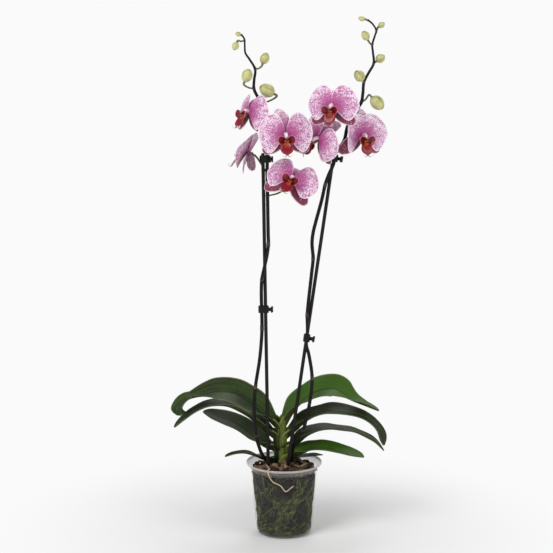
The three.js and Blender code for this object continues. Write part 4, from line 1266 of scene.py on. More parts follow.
@dataclass
class Spike:
    """A flower spike: its stem, the bracts at its bare joints, and the stalks of its blooms and buds.

    The joints are heights. The stem, the tip and the stalk are radii. The hub is how far a bloom's back is behind
    its origin, and the gap is what is left between a stalk and the bloom or bud that it carries.
    """

    hand: Hand
    path: Sequence[Point]
    joints: Sequence[float]
    stem: float = 2.75
    tip: float = 1.3
    stalk: float = 1.4
    hub: float = 4.0
    gap: float = 0.35

    def radius(self, t: Array) -> Array:
        """Returns the stem's radius at shares of its points."""
        return lerp(self.stem, self.tip, smooth(t, 0.66, 1))

    def stalks(self) -> list[tuple[float, Array, Array, float, Point]]:
        """Lists each stalk: its node's height, the way it arrives, its end, how far it runs in and its bow.

        Returns:
            A row of those five for each bloom and bud of the spike.
        """
        found = []
        for name, seat in SEATS.items():
            if name.startswith(self.hand.word):
                facing = seat.turn() @ np.array([0.0, -1.0, 0.0])
                end = np.array(seat.at) - facing * (self.hub * seat.size + self.gap)
                found.append((seat.node, facing, end + facing * 1.0, 9.0, seat.bow))
        for bud in BUDS:
            if bud.name.startswith(self.hand.word):
                facing = bud.facing()
                end = np.array(bud.at) - facing * (0.5 * bud.long + self.gap)
                found.append((bud.node, facing, end + facing * 0.8, 0.25 * bud.long, (0.0, 0.0, 0.0)))
        return found

    def build(self) -> None:
        """Makes the stem, the bracts and the stalks."""
        curve = Spline(self.path)
        t = np.linspace(0, 1, 420)
        middle = curve.knot(t)
        radii = self.radius(t)
        nodes = [*self.joints, *[node for node, *_ in self.stalks()]]
        heights = middle[:, 2]
        swell = sum(np.exp(-((heights - z) / 3.0) ** 2) for z in nodes)
        stem = Form()
        tube(stem, middle, radii + 0.2 * np.minimum(swell, 1), 14, along=t * curve.length,
             tint=0.12 * np.minimum(swell, 1) + 0.1 * smooth(heights, 640, 760))
        stem.piece("spike_stem_" + self.hand.word, ["spike"], ["spike_" + self.hand.word], "spike")
        self.bracts(curve)
        stalks = Form()
        for node, facing, end, lead, bow in self.stalks():
            start = curve.at(curve.nearest(node))
            before = end - facing * lead
            sag = lerp(start, before, 0.5) + np.array(bow) - [0, 0, 0.12 * np.linalg.norm(start - before)]
            path = Spline([start, sag, before, end])
            u = np.linspace(0, 1, 30)
            radii = self.stalk * lerp(0.85, 1.2, u) * (1 + 0.3 * np.exp(-((u - 0.97) / 0.06) ** 2))
            tube(stalks, path.at(u), radii, 12, along=u * path.length, tint=0.35 * u - 0.1)
        stalks.piece("flower_stalks_" + self.hand.word, ["stalk"], ["spike_" + self.hand.word], "spike")

    def bracts(self, curve: Spline) -> None:
        """Makes the dry bracts: a papery sheath round each joint, taller at the bare ones and flared on one side.

        Args:
            curve: the stem's middle.
        """
        form = Form()
        for k, z in enumerate([*self.joints, *[node for node, *_ in self.stalks()]]):
            bare = k < len(self.joints)
            u = curve.nearest(z)
            base, along = curve.at(u), curve.forward(u)
            reach = self.radius(np.interp(u * curve.length, curve.travel, curve.t)) + (0.35 if bare else 0.3)
            tall = 7.0 if bare else 3.5
            steps = np.linspace(-0.35, 0.65, 9)
            path = base + along * (tall * steps)[:, None]
            share = np.linspace(0, 1, len(steps))
            lean = 1 + 0.12 * np.cos(around(16) + 2.4 * k)[None, :] * share[:, None]
            tube(form, path, reach * lerp(1.0, 0.86, share**2), 16, ends=0.3, ripple=lean, along=steps,
                 tint=0.2 * np.sin(3.1 * k))
        form.piece("bracts_" + self.hand.word, ["bract"], ["spike_" + self.hand.word], "spike")


SPIKES = [
    Spike(Hand.LEFT, [
        (-9, 16.5, 108), (-14, 11.5, 110), (-24, 3, 113), (-34, -3, 126), (-40, -6, 142), (-44.5, -8, 160),
        (-47.3, -9.5, 194), (-46.5, -9, 215), (-45.2, -8, 238), (-38.8, -6, 280), (-36, -6, 308),
        *[LEFT_STAKE.beside(z, 180) for z in (332, 392)],
        *[LEFT_STAKE.beside(z, angle, 6.4) for z, angle in ((410, 222), (428, 262), (446, 302), (464, 342))],
        *[LEFT_STAKE.beside(z, 360) for z in (482, 510, 540, 574)],
        LEFT_STAKE.beside(605, 360, 6.5), (-30.5, 0, 640),
        (-32.5, 6, 665), (-38, 10, 684), (-46.5, 10, 702), (-46.4, 8, 715), (-44.7, 6, 732), (-53, 3, 747),
        (-59.5, 2, 757), (-60.4, 2, 769), (-61, 2, 778), (-65, 2, 784),
    ], [160, 238, 332, 410, 464]),
    Spike(Hand.RIGHT, [
        (-1, 16.5, 108), (4, 11.5, 111), (12, 6, 116), (13, 0.5, 130), (16, -3, 144), (23, -6.5, 157),
        (30, -8.5, 169), (35.5, -9.5, 191), (40, -9.5, 213), (43.8, -8, 252), (38.6, -10, 290),
        RIGHT_STAKE.beside(308, -86), RIGHT_STAKE.beside(327, -94), (35.8, -11, 353), (37.2, -9.6, 371),
        (42.3, -7.5, 418), (44.6, -6, 442), (42.9, -6, 466), (44.5, -6, 482), (48.3, -6, 498), (57.6, -6, 533),
        *[RIGHT_STAKE.beside(z, angle, 6.4) for z, angle in ((558, 196), (573, 240), (588, 282), (606, 296))],
        (84, -14, 614), (91.2, -13, 625), (96, -12, 645), (103, -12, 660),
        (112, -12, 675), (117, -12, 683), (119.2, -12, 697), (120.6, -12, 713), (127.5, -12, 727),
        (135, -12, 741), (133.8, -12, 758), (132.7, -12, 769), (136.6, -12, 783), (138.5, -12, 790),
        (133, -12, 800), (126, -12, 806),
    ], [169, 252, 353, 442, 556]),
]


# Crown and leaves


@dataclass(frozen=True)
class Leaf:
    """A leaf: its greatest width, how its blade leans in degrees at even steps, and its spine from stem to tip.

    The lit share is painted light: it makes the green brighter on leaves that catch more light or that light shines
    through.
    """

    name: str
    hand: Hand
    width: float
    roll: Sequence[float]
    spine: Sequence[Point]
    lit: float = 0.0
    rows: int = 72
    columns: int = 25

    def directions(self, u: Array) -> tuple[Array, Array, Array]:
        """Returns the directions along the leaf, across it and up from its face.

        Args:
            u: shares of its length.

        Returns:
            The three directions at each share.
        """
        forward = Spline(self.spine).forward(u)
        level = np.stack([forward[:, 1], -forward[:, 0], np.zeros(len(u))], -1)
        front = unit(level * self.hand.value)
        up = np.cross(front, forward) * self.hand.value
        roll = np.radians(np.interp(u * (len(self.roll) - 1), range(len(self.roll)), self.roll))[:, None]
        across = front * np.cos(roll) - up * np.sin(roll)
        return forward, across, up * np.cos(roll) + front * np.sin(roll)

    def half_width(self, u: Array) -> Array:
        """Returns half the leaf's width: a narrow clasping base, full width by the middle, and a round tip."""
        return 0.5 * self.width * lerp(0.38, 1, smooth(u, 0, 0.3)) * np.maximum(0.02, (1 - u**5)) ** 0.55

    def build(self) -> None:
        """Makes the leaf: a folded, arching blade with a channelled midrib and gently waved edges."""
        u = spaced(self.rows, 0.35)
        v = lerp(-1, 1, spaced(self.columns, 0.2))[None, :]
        spine = Spline(self.spine).at(u)
        _, across, face = self.directions(u)
        half = self.half_width(u)[:, None]
        fold = np.radians(lerp(60, 15, smooth(u, 0, 0.35)))[:, None]
        seed = len(self.name) + self.spine[3][0]
        wave = 0.9 * np.abs(v) ** 3 * np.sin(11 * u[:, None] + seed) * smooth(u, 0.2, 0.5)[:, None]
        crease = -0.8 * np.exp(-(v * half / 2.0) ** 2) * (1 - u[:, None] ** 2)
        sideways = (v * half * np.cos(fold))[..., None]
        rise = (np.abs(v) ** 1.3 * half * np.sin(fold) + wave + crease)[..., None]
        middle = spine[:, None] + across[:, None] * sideways + face[:, None] * rise
        thick = lerp(1.1, 0.42, np.abs(v) ** 1.5) * lerp(1, 0.7, u[:, None]) * (1 - 0.7 * np.abs(v) ** 14)
        length = Spline(self.spine).length
        place = np.stack(np.broadcast_arrays(u[:, None] * length, v * half, seed), -1)
        form = Form()
        blade(form, middle, thick, -self.hand.value, vein=place, across=np.abs(v), lit=self.lit)
        form.piece("leaf_blade_" + self.name, ["leaf", "leaf_back"], ["leaf_" + self.name], "leaf")


# A leaf's last number, where it has one, is its lit share: painted light.
LEAVES = [
    Leaf("left_1", Hand.LEFT, 62, (14, 32, 34, 24, -6, 25), [
        (-13, 22, 165), (-36, 24, 188), (-56, 23, 206), (-76, 20, 219), (-96, 17, 224), (-116, 13, 223),
        (-136, 9, 219), (-154, 5, 214), (-165, 2, 204), (-167, 0, 190)], 0.05),
    Leaf("left_2", Hand.LEFT, 52, (8, 4, 0, -6, -8), [
        (-14, 21, 146), (-36, 23, 164), (-55, 21, 182), (-72, 15, 194), (-89, 9, 203), (-106, 3, 206),
        (-122, -3, 205), (-140, -9, 198), (-157, -15, 187), (-172, -20, 176)]),
    Leaf("left_3", Hand.LEFT, 54, (4, 8, 12, 10), [
        (-14, 23, 126), (-34, 26, 134), (-50, 30, 147), (-72, 36, 162), (-95, 42, 172), (-114, 47, 177),
        (-131, 51, 183)], 0.05),
    Leaf("left_4", Hand.LEFT, 22, (0, 0), [
        (-14, 24, 111), (-30, 18, 113), (-44, 10, 121), (-60, 2, 128), (-76, -6, 130), (-93, -14, 127)]),
    Leaf("right_1", Hand.RIGHT, 62, (0, 6, 14, 22, 26, 0, -12, -12), [
        (2, 23, 167), (14, 25, 188), (28, 27, 205), (46, 27, 219), (65, 25, 226), (82, 22, 227), (96, 17, 220),
        (110, 12, 211), (128, 5, 205), (149, -2, 198)], 0.45),
    Leaf("right_2", Hand.RIGHT, 54, (8, 12, 10, 2, -4, -4), [
        (3, 22, 146), (20, 24, 161), (36, 23, 176), (52, 18, 186), (68, 12, 192), (84, 6, 193), (102, 0, 192),
        (120, -6, 189), (135, -11, 182), (148, -16, 169), (156, -21, 147)]),
    Leaf("right_3", Hand.RIGHT, 48, (8, -2, -6, -4, 4), [
        (4, 24, 124), (20, 27, 135), (37, 31, 149), (54, 35, 156), (74, 39, 158), (93, 43, 155),
        (114, 46, 151), (132, 49, 142), (148, 51, 132), (162, 53, 118)]),
    Leaf("right_4", Hand.RIGHT, 50, (10, 8, 2, 0), [
        (5, 20, 112), (22, 18, 120), (38, 14, 129), (54, 7, 134), (72, 0, 135), (91, -8, 132), (108, -15, 129),
        (125, -22, 128)], 0.4),
    Leaf("right_5", Hand.RIGHT, 18, (0, 0), [
        (3, 29, 110), (26, 31, 114), (44, 28, 116.5), (62, 24, 119)]),
]


@dataclass(frozen=True)
class Crown:
    """The crown: the short stem, and the base of each leaf folded round it, the lower over the higher.

    The stem and the sheath are radii.
    """

    foot: Point = (-5, 22, 102.5)
    tip: Point = (-6.5, 22, 164)
    stem: float = 7.5
    sheath: float = 9.8

    def build(self) -> None:
        """Makes the stem and the leaves' clasping bases."""
        foot, tip = np.array(self.foot, float), np.array(self.tip, float)
        form = Form()
        u = np.linspace(0, 1, 30)
        stem = Spline([foot, tip]).at(u)
        # The stem is painted a little darker, as painted shade inside the sheaths.
        tube(form, stem, self.stem * lerp(1, 0.7, u), 28, vein=stem, across=0.5, lit=-0.1)
        v = np.linspace(-1, 1, 25)[None, :]
        for leaf in LEAVES:
            forward, across, face = leaf.directions(np.array([0.0, 0.07]))
            end, beyond = Spline(leaf.spine).at([0.01, 0.07])
            out = unit(forward[0] * [1, 1, 0])
            rise = (end[2] - foot[2]) / (tip[2] - foot[2])
            low = max(0.02, rise - 0.55)
            wide = self.sheath if leaf.width > 30 else 0.6 * self.sheath
            base = lerp(foot, tip, low) + out * wide
            knee = lerp(foot, tip, lerp(low, rise, 0.5)) + out * wide
            path = Spline([base, knee, end, beyond])
            inward = unit(np.cross(path.forward(u), across[1]))
            inward *= np.sign(inward[-1] @ face[1])
            half = float(leaf.half_width(np.array([0.07]))[0]) + 0.8
            wrap = np.radians(115) * v
            spread = smooth(u, 0.3, 0.9)[:, None]
            sideways = lerp(wide * np.sin(wrap), 0.5 * v * half, spread)
            climb = lerp(wide * (1 - np.cos(wrap)), 0.87 * np.abs(v) ** 1.3 * half, spread)
            middle = path.at(u)[:, None] + across[1] * sideways[..., None] + inward[:, None] * climb[..., None]
            place = np.stack(np.broadcast_arrays(u[:, None] * path.length, 9 * v, end[2]), -1)
            # Painted light and shade: the right-hand sheaths are painted lighter, as if lit, each leaf's lit share
            # carries on into its sheath, and each sheath's foot is darker, as painted shade inside the others.
            lit = (0.3 if leaf.hand is Hand.RIGHT else 0.0) + leaf.lit * u - 0.25 * (1 - smooth(u, 0, 0.25))
            blade(form, middle, 0.9, -leaf.hand.value, (0, 0), vein=place, across=np.abs(v), lit=lit[:, None])
        form.piece("crown_sheaths", ["sheath"], ["crown"], "crown")


CROWN = Crown()


# Pot


@dataclass(frozen=True)
class Pot:
    """The clear pot: a tapered wall, a flared collar with a rolled lip, and a raised floor with drain holes."""

    height: float = 116
    rim: float = 60
    lip: float = 3.6
    throat: float = 52.7
    throat_height: float = 101
    base: float = 44.6
    corner: float = 8
    wall: float = 1.2
    floor: float = 4
    recess: float = 2.5
    foot: float = 38
    foot_width: float = 2.5
    boss: float = 14
    drains: int = 8
    drain: float = 3
    drain_circle: float = 25
    notch: tuple[float, float] = (5, 2)
    notch_turn: float = 17.5
    sides: int = 160
    collar_milk: float = 0.42
    corner_milk: float = 0.25
    floor_milk: float = 0.3

    def inside(self, z: Array | float) -> Array | float:
        """Returns the radius of the wall's inner face at a height."""
        return lerp(self.base, self.throat, (z - self.corner) / (self.throat_height - self.corner)) - self.wall

    def outline(self) -> list[tuple[float, float]]:
        """Returns the turned outline, from the middle of the underside round to the middle of the floor.

        Returns:
            Radii and heights.
        """
        lip = self.height - self.lip
        u = np.linspace(0, 1, 44)
        outer = Spline([(self.foot, 0, 0.3), (lerp(self.foot, self.base, 0.62), 0, 0.24 * self.corner),
                        (self.base, 0, self.corner), (self.throat, 0, self.throat_height),
                        (self.throat + 1.6, 0, self.throat_height + 6), (self.rim - 1.6, 0, lip - 0.6)]).at(u)
        roll = [(self.rim - 0.8 + 0.8 * math.cos(a), self.height - self.lip / 2 + self.lip / 2 * math.sin(a))
                for a in np.radians(np.linspace(-80, 90, 12))]
        inner = Spline([(self.rim - 1.6, 0, self.height - 0.15), (self.throat + 0.7, 0, self.throat_height + 7),
                        (self.throat - self.wall, 0, self.throat_height), (self.base - self.wall, 0, self.corner),
                        (lerp(self.foot, self.base, 0.3), 0, self.floor)]).at(u)
        return [(0, 0), (self.boss - 0.4, 0), (self.boss, 0.3), (self.boss + 2, self.recess),
                (self.foot - self.foot_width - 2, self.recess), (self.foot - self.foot_width, 0.3),
                (self.foot - self.foot_width + 0.3, 0), (self.foot - 0.3, 0),
                *[(x, z) for x, _, z in outer], *roll, *[(x, z) for x, _, z in inner], (0, self.floor)]

    def build(self) -> None:
        """Makes the pot and cuts its drain holes and foot notches."""
        form = Form()
        outline = self.outline()
        heights = np.array([z for _, z in outline[1:-1]])
        radii = np.array([x for x, _ in outline[1:-1]])
        lip = self.height - self.lip
        collar = self.collar_milk * smooth(heights, self.throat_height, lip - 4)
        corner = self.corner_milk * (1 - smooth(heights, 2, 9))
        # The rolled lip is fully milky, which also gives it a lighter colour that is partly painted highlight.
        milk = np.maximum(np.maximum(collar, smooth(heights, lip - 0.8, lip + 0.6)), corner)
        milk = np.where(radii < self.foot - 8, self.floor_milk, milk)
        axis = [self.floor_milk, self.floor_milk]
        lathe(form, outline, self.sides, milk=np.concatenate([np.repeat(milk, self.sides), axis]))
        cutters = Form()
        for k in range(self.drains):
            turn = 360 * k / self.drains
            hole = [from_front(self.drain_circle, turn, z) for z in (-4, 0, 8)]
            tube(cutters, np.array(hole, float), self.drain, 24, ends=0.02)
            points, faces = soft_box((self.notch[0], 4 * self.foot_width, 2 * self.notch[1]), 0.3)
            about = turned(z=math.radians(turn + self.notch_turn))
            cutters.add((points + [0, -self.foot - self.foot_width, 0]) @ about.T, faces)
        made = form.piece("pot_wall", ["pot"], ["pot"], "pot")
        tool = cutters.piece("pot_cutters", [])
        cut = made.modifiers.new("holes", "BOOLEAN")
        cut.object, cut.solver = tool, "EXACT"
        made.data = bpy.data.meshes.new_from_object(made.evaluated_get(bpy.context.evaluated_depsgraph_get()))
        made.modifiers.clear()
        bpy.data.objects.remove(tool)


POT = Pot()


# Roots


@dataclass(frozen=True)
class Root:
    """A root: places over the mix, then angles from the front towards the right, with heights, down the wall."""

    over: Sequence[Point]
    wall: Sequence[tuple[float, float]]
    radius: float = 2.3

    def path(self, hub: Array) -> Spline:
        """Returns the root's route from the stem."""
        down = [from_front(POT.inside(z) - 1.15 * self.radius - 1.05, angle, z) for angle, z in self.wall]
        return Spline([hub, *self.over, *down])


ROOTS = [
    Root([(-8, 9, 105), (-9, 1, 107), (-14, -10, 108), (-20, -24, 105)], [(-31, 88), (-24, 62), (-9, 50)]),
    Root([(4, 10, 105), (13, 2, 107), (17, -14, 107)], [(32, 88), (17, 72), (5, 56), (-9, 36), (-20, 22)]),
    Root([(10, 14, 105), (18, -1, 108), (24, -12, 109), (36, 5, 110)], [(112, 99), (104, 70), (84, 40)]),
    Root([(-17, 14, 105), (-27, 6, 107), (-36, -10, 107)], [(-76, 94), (-56, 76), (-34, 66), (-20, 58)]),
    Root([(-16, 31, 104), (-26, 38, 104)], [(-138, 92), (-112, 66), (-88, 40), (-60, 18)]),
    Root([(4, 32, 104), (12, 40, 104)], [(160, 92), (186, 62), (214, 36), (240, 16)]),
    Root([(10, 24, 105), (24, 24, 107), (36, 18, 106)], [(92, 90), (66, 74), (40, 62), (20, 58), (8, 26)]),
]
# Where the roots leave the stem, below the top of the mix.
HUB = np.array(CROWN.foot) - [0, 0, 9.2]
# Short pale roots that stand out of the mix by the crown, as the places that they pass.
STUBS = [
    [(-12, 12, 104), (-16, 4, 109), (-17, -5, 110), (-18, -12, 104)],
    [(-9, 10, 104), (-13, 1, 109.5), (-13, -7, 110.5), (-14, -16, 105)],
    [(0, 8, 104), (2, -2, 110), (2, -9, 109.5), (1, -16, 104)],
]


@dataclass(frozen=True)
class RootBall:
    """The roots over the mix and behind the wall, the thin ones between them, and the aerial root outside.

    The stub and the aerial root are radii.
    """

    fine_count: int = 46
    stub: float = 2.5
    aerial: float = 1.1
    seed: int = 7

    def main(self, form: Form, random: np.random.Generator) -> None:
        """Adds the thick roots, a little lumpy along their length, and the pale stubs by the crown.

        Args:
            form: what it is added to.
            random: the row of random numbers.
        """
        for k, root in enumerate(ROOTS):
            path = root.path(HUB)
            u = np.linspace(0, 1, 110)
            lumps = 1 + 0.06 * np.sin(23 * u + k) + 0.05 * random.standard_normal(110).cumsum() * 0.2
            taper = lerp(1.1, 0.62, u) * np.clip(lumps, 0.85, 1.18)
            drawn = path.at(u)
            dry = smooth(drawn[:, 2], 97, 103)
            tube(form, drawn, root.radius * taper, 14, along=u * path.length, tint=0.15 * (1 - dry) - 0.1, dry=dry)
        for places in STUBS:
            path = Spline(places)
            u = np.linspace(0, 1, 24)
            radii = self.stub * lerp(0.8, 1.1, u)
            tube(form, path.at(u), radii, 14, along=u * path.length, tint=0.0, dry=1.0)

    def fine(self, form: Form, random: np.random.Generator) -> None:
        """Adds thinner roots that wander down and round the wall between the thick ones.

        Args:
            form: what it is added to.
            random: the row of random numbers.
        """
        for _ in range(self.fine_count):
            angle, z = random.uniform(-180, 180), random.uniform(40, 98)
            slope = random.uniform(-34, 34)
            steps = int(random.integers(3, 6))
            radius = random.uniform(0.7, 1.6)
            places = []
            for k in range(steps):
                turn = angle + slope * k + random.uniform(-6, 6)
                height = max(9.0, z - 17 * k + random.uniform(-4, 4))
                reach = POT.inside(height) - radius - random.uniform(0.6, 1.8)
                places.append(from_front(reach, turn, height))
            path = Spline(places)
            u = np.linspace(0, 1, 12 * steps)
            tube(form, path.at(u), radius * lerp(1, 0.55, u), 8, along=u * path.length,
                 tint=random.uniform(-0.15, 0.35), dry=0.0)

    def build(self) -> None:
        """Makes the roots and the aerial root."""
        random = np.random.default_rng(self.seed)
        form = Form()
        self.main(form, random)
        self.fine(form, random)
        form.piece("root_ball", ["root"], ["roots"], "root")
        hanging = Form()
        path = Spline(self.aerial_places())
        u = np.linspace(0, 1, 120)
        tube(hanging, path.at(u), self.aerial * lerp(1, 0.6, u), 12, along=u * path.length, tint=0.3 * u)
        hanging.piece("aerial_root_skin", ["aerial_root"], ["aerial_root"], "aerial_root")

    def aerial_places(self) -> list[Point]:
        """Returns the aerial root's route: on the mix, over the rim and down the pot's front.

        Returns:
            Its places from the end on the mix to the hanging one.
        """
        clear = self.aerial + 0.35
        hanging = ((-18.8, 96.5), (-10.4, 93.4), (-4.8, 90), (0.1, 83.4), (3.5, 82), (9.2, 86), (14.8, 89.8))
        return [
            (-28, -15, 113.4), from_front(48, -28, 114.4), from_front(POT.rim - 1, -25, POT.height + clear + 0.5),
            from_front(POT.rim + clear + 0.4, -24, POT.height - 2), from_front(POT.rim - 1, -22.5, 105),
            *[from_front(POT.inside(z) + POT.wall + clear + 0.4, angle, z) for angle, z in hanging],
        ]


# Bark mix


# Each streak of moss: its middle as angles from the front and heights, its width, and how many strands it has.
STREAKS = [
    ([(39, 86), (27, 72), (12, 63), (2, 48), (-9, 33), (-16, 20)], 5.0, 170),
    ([(38, 67), (19, 60), (11, 56)], 3.0, 36),
    ([(22, 47), (11, 41), (0, 32)], 2.5, 32),
    ([(-14, 100), (-18, 92), (-25, 76), (-19, 62), (-11, 54)], 4.0, 80),
    ([(10, 74), (-4, 63), (-15, 55), (-27, 45), (-44, 31), (-70, 13)], 2.5, 80),
    ([(-29, 85), (-45, 73), (-61, 63), (-71, 53)], 3.0, 40),
    ([(-61, 40), (-41, 33), (-25, 28)], 2.0, 24),
    ([(26, 100), (26, 92), (32, 83)], 2.5, 26),
    ([(52, 98), (44, 88), (36, 82)], 2.5, 26),
    ([(55, 77), (50, 65), (60, 48), (59, 30)], 4.0, 50),
]


@dataclass(frozen=True)
class BarkMix:
    """The mix: a dark core, chips pressed to the wall all round, loose chips on top, and moss behind the wall."""

    top: float = 104.0
    heap: float = 4.0
    core_inset: float = 4.2
    wall_chips: int = 420
    top_chips: int = 190
    streak_turns: tuple[float, ...] = (0, 128, 236)
    band_strands: int = 390
    wisps: int = 220
    seed: int = 13

    def chip(self, form: Form, random: np.random.Generator, at: Array, size: Array, turn: Array,
             tone: tuple[float, float]) -> None:
        """Adds one chip: a flat, splintered lump.

        Args:
            form: what it is added to.
            random: the row of random numbers.
            at: its middle.
            size: its length, width and thickness.
            turn: its rotation.
            tone: the range that its shade is picked from.
        """
        rings, sides = 5, 10
        angle = around(sides)
        levels = np.linspace(-1, 1, rings)
        girth = np.array([0.62, 0.95, 1.0, 0.93, 0.6])
        square = np.maximum(np.abs(np.cos(angle)), np.abs(np.sin(angle))) ** -0.75
        points = np.stack([
            np.outer(girth, np.cos(angle) * square) * size[0] / 2,
            np.outer(girth, np.sin(angle) * square) * size[1] / 2,
            np.repeat(levels[:, None], sides, 1) * size[2] / 2], -1)
        points *= 1 + 0.16 * random.standard_normal((rings, sides, 1))
        points[..., 2] += 0.12 * size[2] * random.standard_normal((rings, sides))
        form.add(points @ turn.T + at, skin(rings, sides), tint=float(random.uniform(*tone)))

    def core(self, form: Form) -> None:
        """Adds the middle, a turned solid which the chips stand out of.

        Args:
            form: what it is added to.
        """
        side = [(POT.inside(z) - self.core_inset, z) for z in (12, 50, 96)]
        edge = POT.inside(100) - self.core_inset - 4
        outline = [(0, 4.6), (POT.foot - 2, 4.6), *side, (edge, self.top - 1), (0, self.top - 1)]
        # The core is drawn darker than the chips.
        lathe(form, outline, 60, tint=-0.4)

    def against_wall(self, form: Form, random: np.random.Generator) -> None:
        """Adds the chips that lie flat behind the wall.

        Args:
            form: what it is added to.
            random: the row of random numbers.
        """
        for _ in range(self.wall_chips):
            z = random.uniform(10, 103)
            angle = random.uniform(0, 2 * math.pi)
            size = np.array([random.uniform(7, 17), random.uniform(5, 11), random.uniform(2.5, 5)])
            reach = POT.inside(z) - 2.2 - size[2] / 2 - random.uniform(0, 1.8)
            out = np.array([math.cos(angle), math.sin(angle), 0])
            spin = random.uniform(0, 2 * math.pi)
            side = np.array([-math.sin(angle) * math.cos(spin), math.cos(angle) * math.cos(spin), math.sin(spin)])
            turn = np.stack([side, np.cross(out, side), out], -1)
            # Chips behind the wall take a darker range of tones than those on top.
            self.chip(form, random, out * reach + [0, 0, z], size, turn, (-0.45, 0.05))

    def on_top(self, form: Form, random: np.random.Generator) -> None:
        """Adds the loose chips on top, clear of the crown.

        Args:
            form: what it is added to.
            random: the row of random numbers.
        """
        for _ in range(self.top_chips):
            reach = (POT.inside(101) - 3) * math.sqrt(random.uniform(0, 1))
            angle = random.uniform(0, 2 * math.pi)
            size = np.array([random.uniform(7, 19), random.uniform(5, 11), random.uniform(2, 5)])
            tilt = turned(random.uniform(-0.5, 0.5), random.uniform(-0.4, 0.4), random.uniform(0, 6.3))
            heap = self.heap * (1 - (reach / 46) ** 2) + random.uniform(-2, 2.5)
            at = np.array([reach * math.cos(angle), reach * math.sin(angle), self.top + heap])
            self.chip(form, random, at, size, tilt, (-0.35, 0.75))

    def strand(self, form: Form, random: np.random.Generator, at: tuple[float, float], way: float,
               tone: tuple[float, float]) -> None:
        """Adds one strand of moss, flat behind the wall.

        Args:
            form: what it is added to.
            random: the row of random numbers.
            at: its foot, as an angle from the front towards the right and a height.
            way: the direction that it grows in, in degrees from level towards the right.
            tone: the range that its shade is picked from.
        """
        angle, z = at
        step = random.uniform(2.0, 4.2)
        places = []
        for _ in range(4):
            reach = POT.inside(z) - random.uniform(0.7, 2.2)
            places.append(from_front(reach, angle, z))
            way += random.uniform(-16, 16)
            angle += math.degrees(step * math.cos(math.radians(way)) / reach)
            z = float(np.clip(z + step * math.sin(math.radians(way)), 6, 100))
        u = np.linspace(0, 1, 5)
        tube(form, Spline(places).at(u), random.uniform(0.3, 0.75) * (1 - 0.6 * u), 4, along=u,
             tint=random.uniform(*tone))

    def moss(self, form: Form, random: np.random.Generator) -> None:
        """Adds moss: feathery streaks down the wall, repeated round it, a yellower band at its foot, and wisps.

        Args:
            form: what it is added to.
            random: the row of random numbers.
        """
        for turn in self.streak_turns:
            for places, wide, count in STREAKS:
                middle = Spline([(angle + turn, 0, z) for angle, z in places])
                for _ in range(count):
                    u = random.uniform(0, 1)
                    angle, _, z = middle.at(u) + random.normal(0, wide / 2, 3)
                    run = middle.forward(u)
                    way = math.degrees(math.atan2(run[2], run[0] * 0.8))
                    way += random.choice((-1, 1)) * random.uniform(8, 40)
                    self.strand(form, random, (angle, z), way, (-0.5, 0.5))
        for _ in range(self.band_strands):
            self.strand(form, random, (random.uniform(0, 360), 8 + abs(random.normal(0, 5.5))),
                        random.choice((0, 180)) + random.normal(0, 22), (-0.3, 0.7))
        for _ in range(self.wisps):
            self.strand(form, random, (random.uniform(0, 360), random.uniform(14, 98)), random.uniform(0, 360),
                        (-0.4, 0.1))

    def build(self) -> None:
        """Makes the bark and the moss."""
        random = np.random.default_rng(self.seed)
        bark, moss = Form(), Form()
        self.core(bark)
        self.against_wall(bark, random)
        self.on_top(bark, random)
        bark.piece("bark_chips", ["bark"], ["bark_mix"], "bark")
        self.moss(moss, random)
        moss.piece("moss", ["moss"], ["bark_mix"], "bark")


# The room


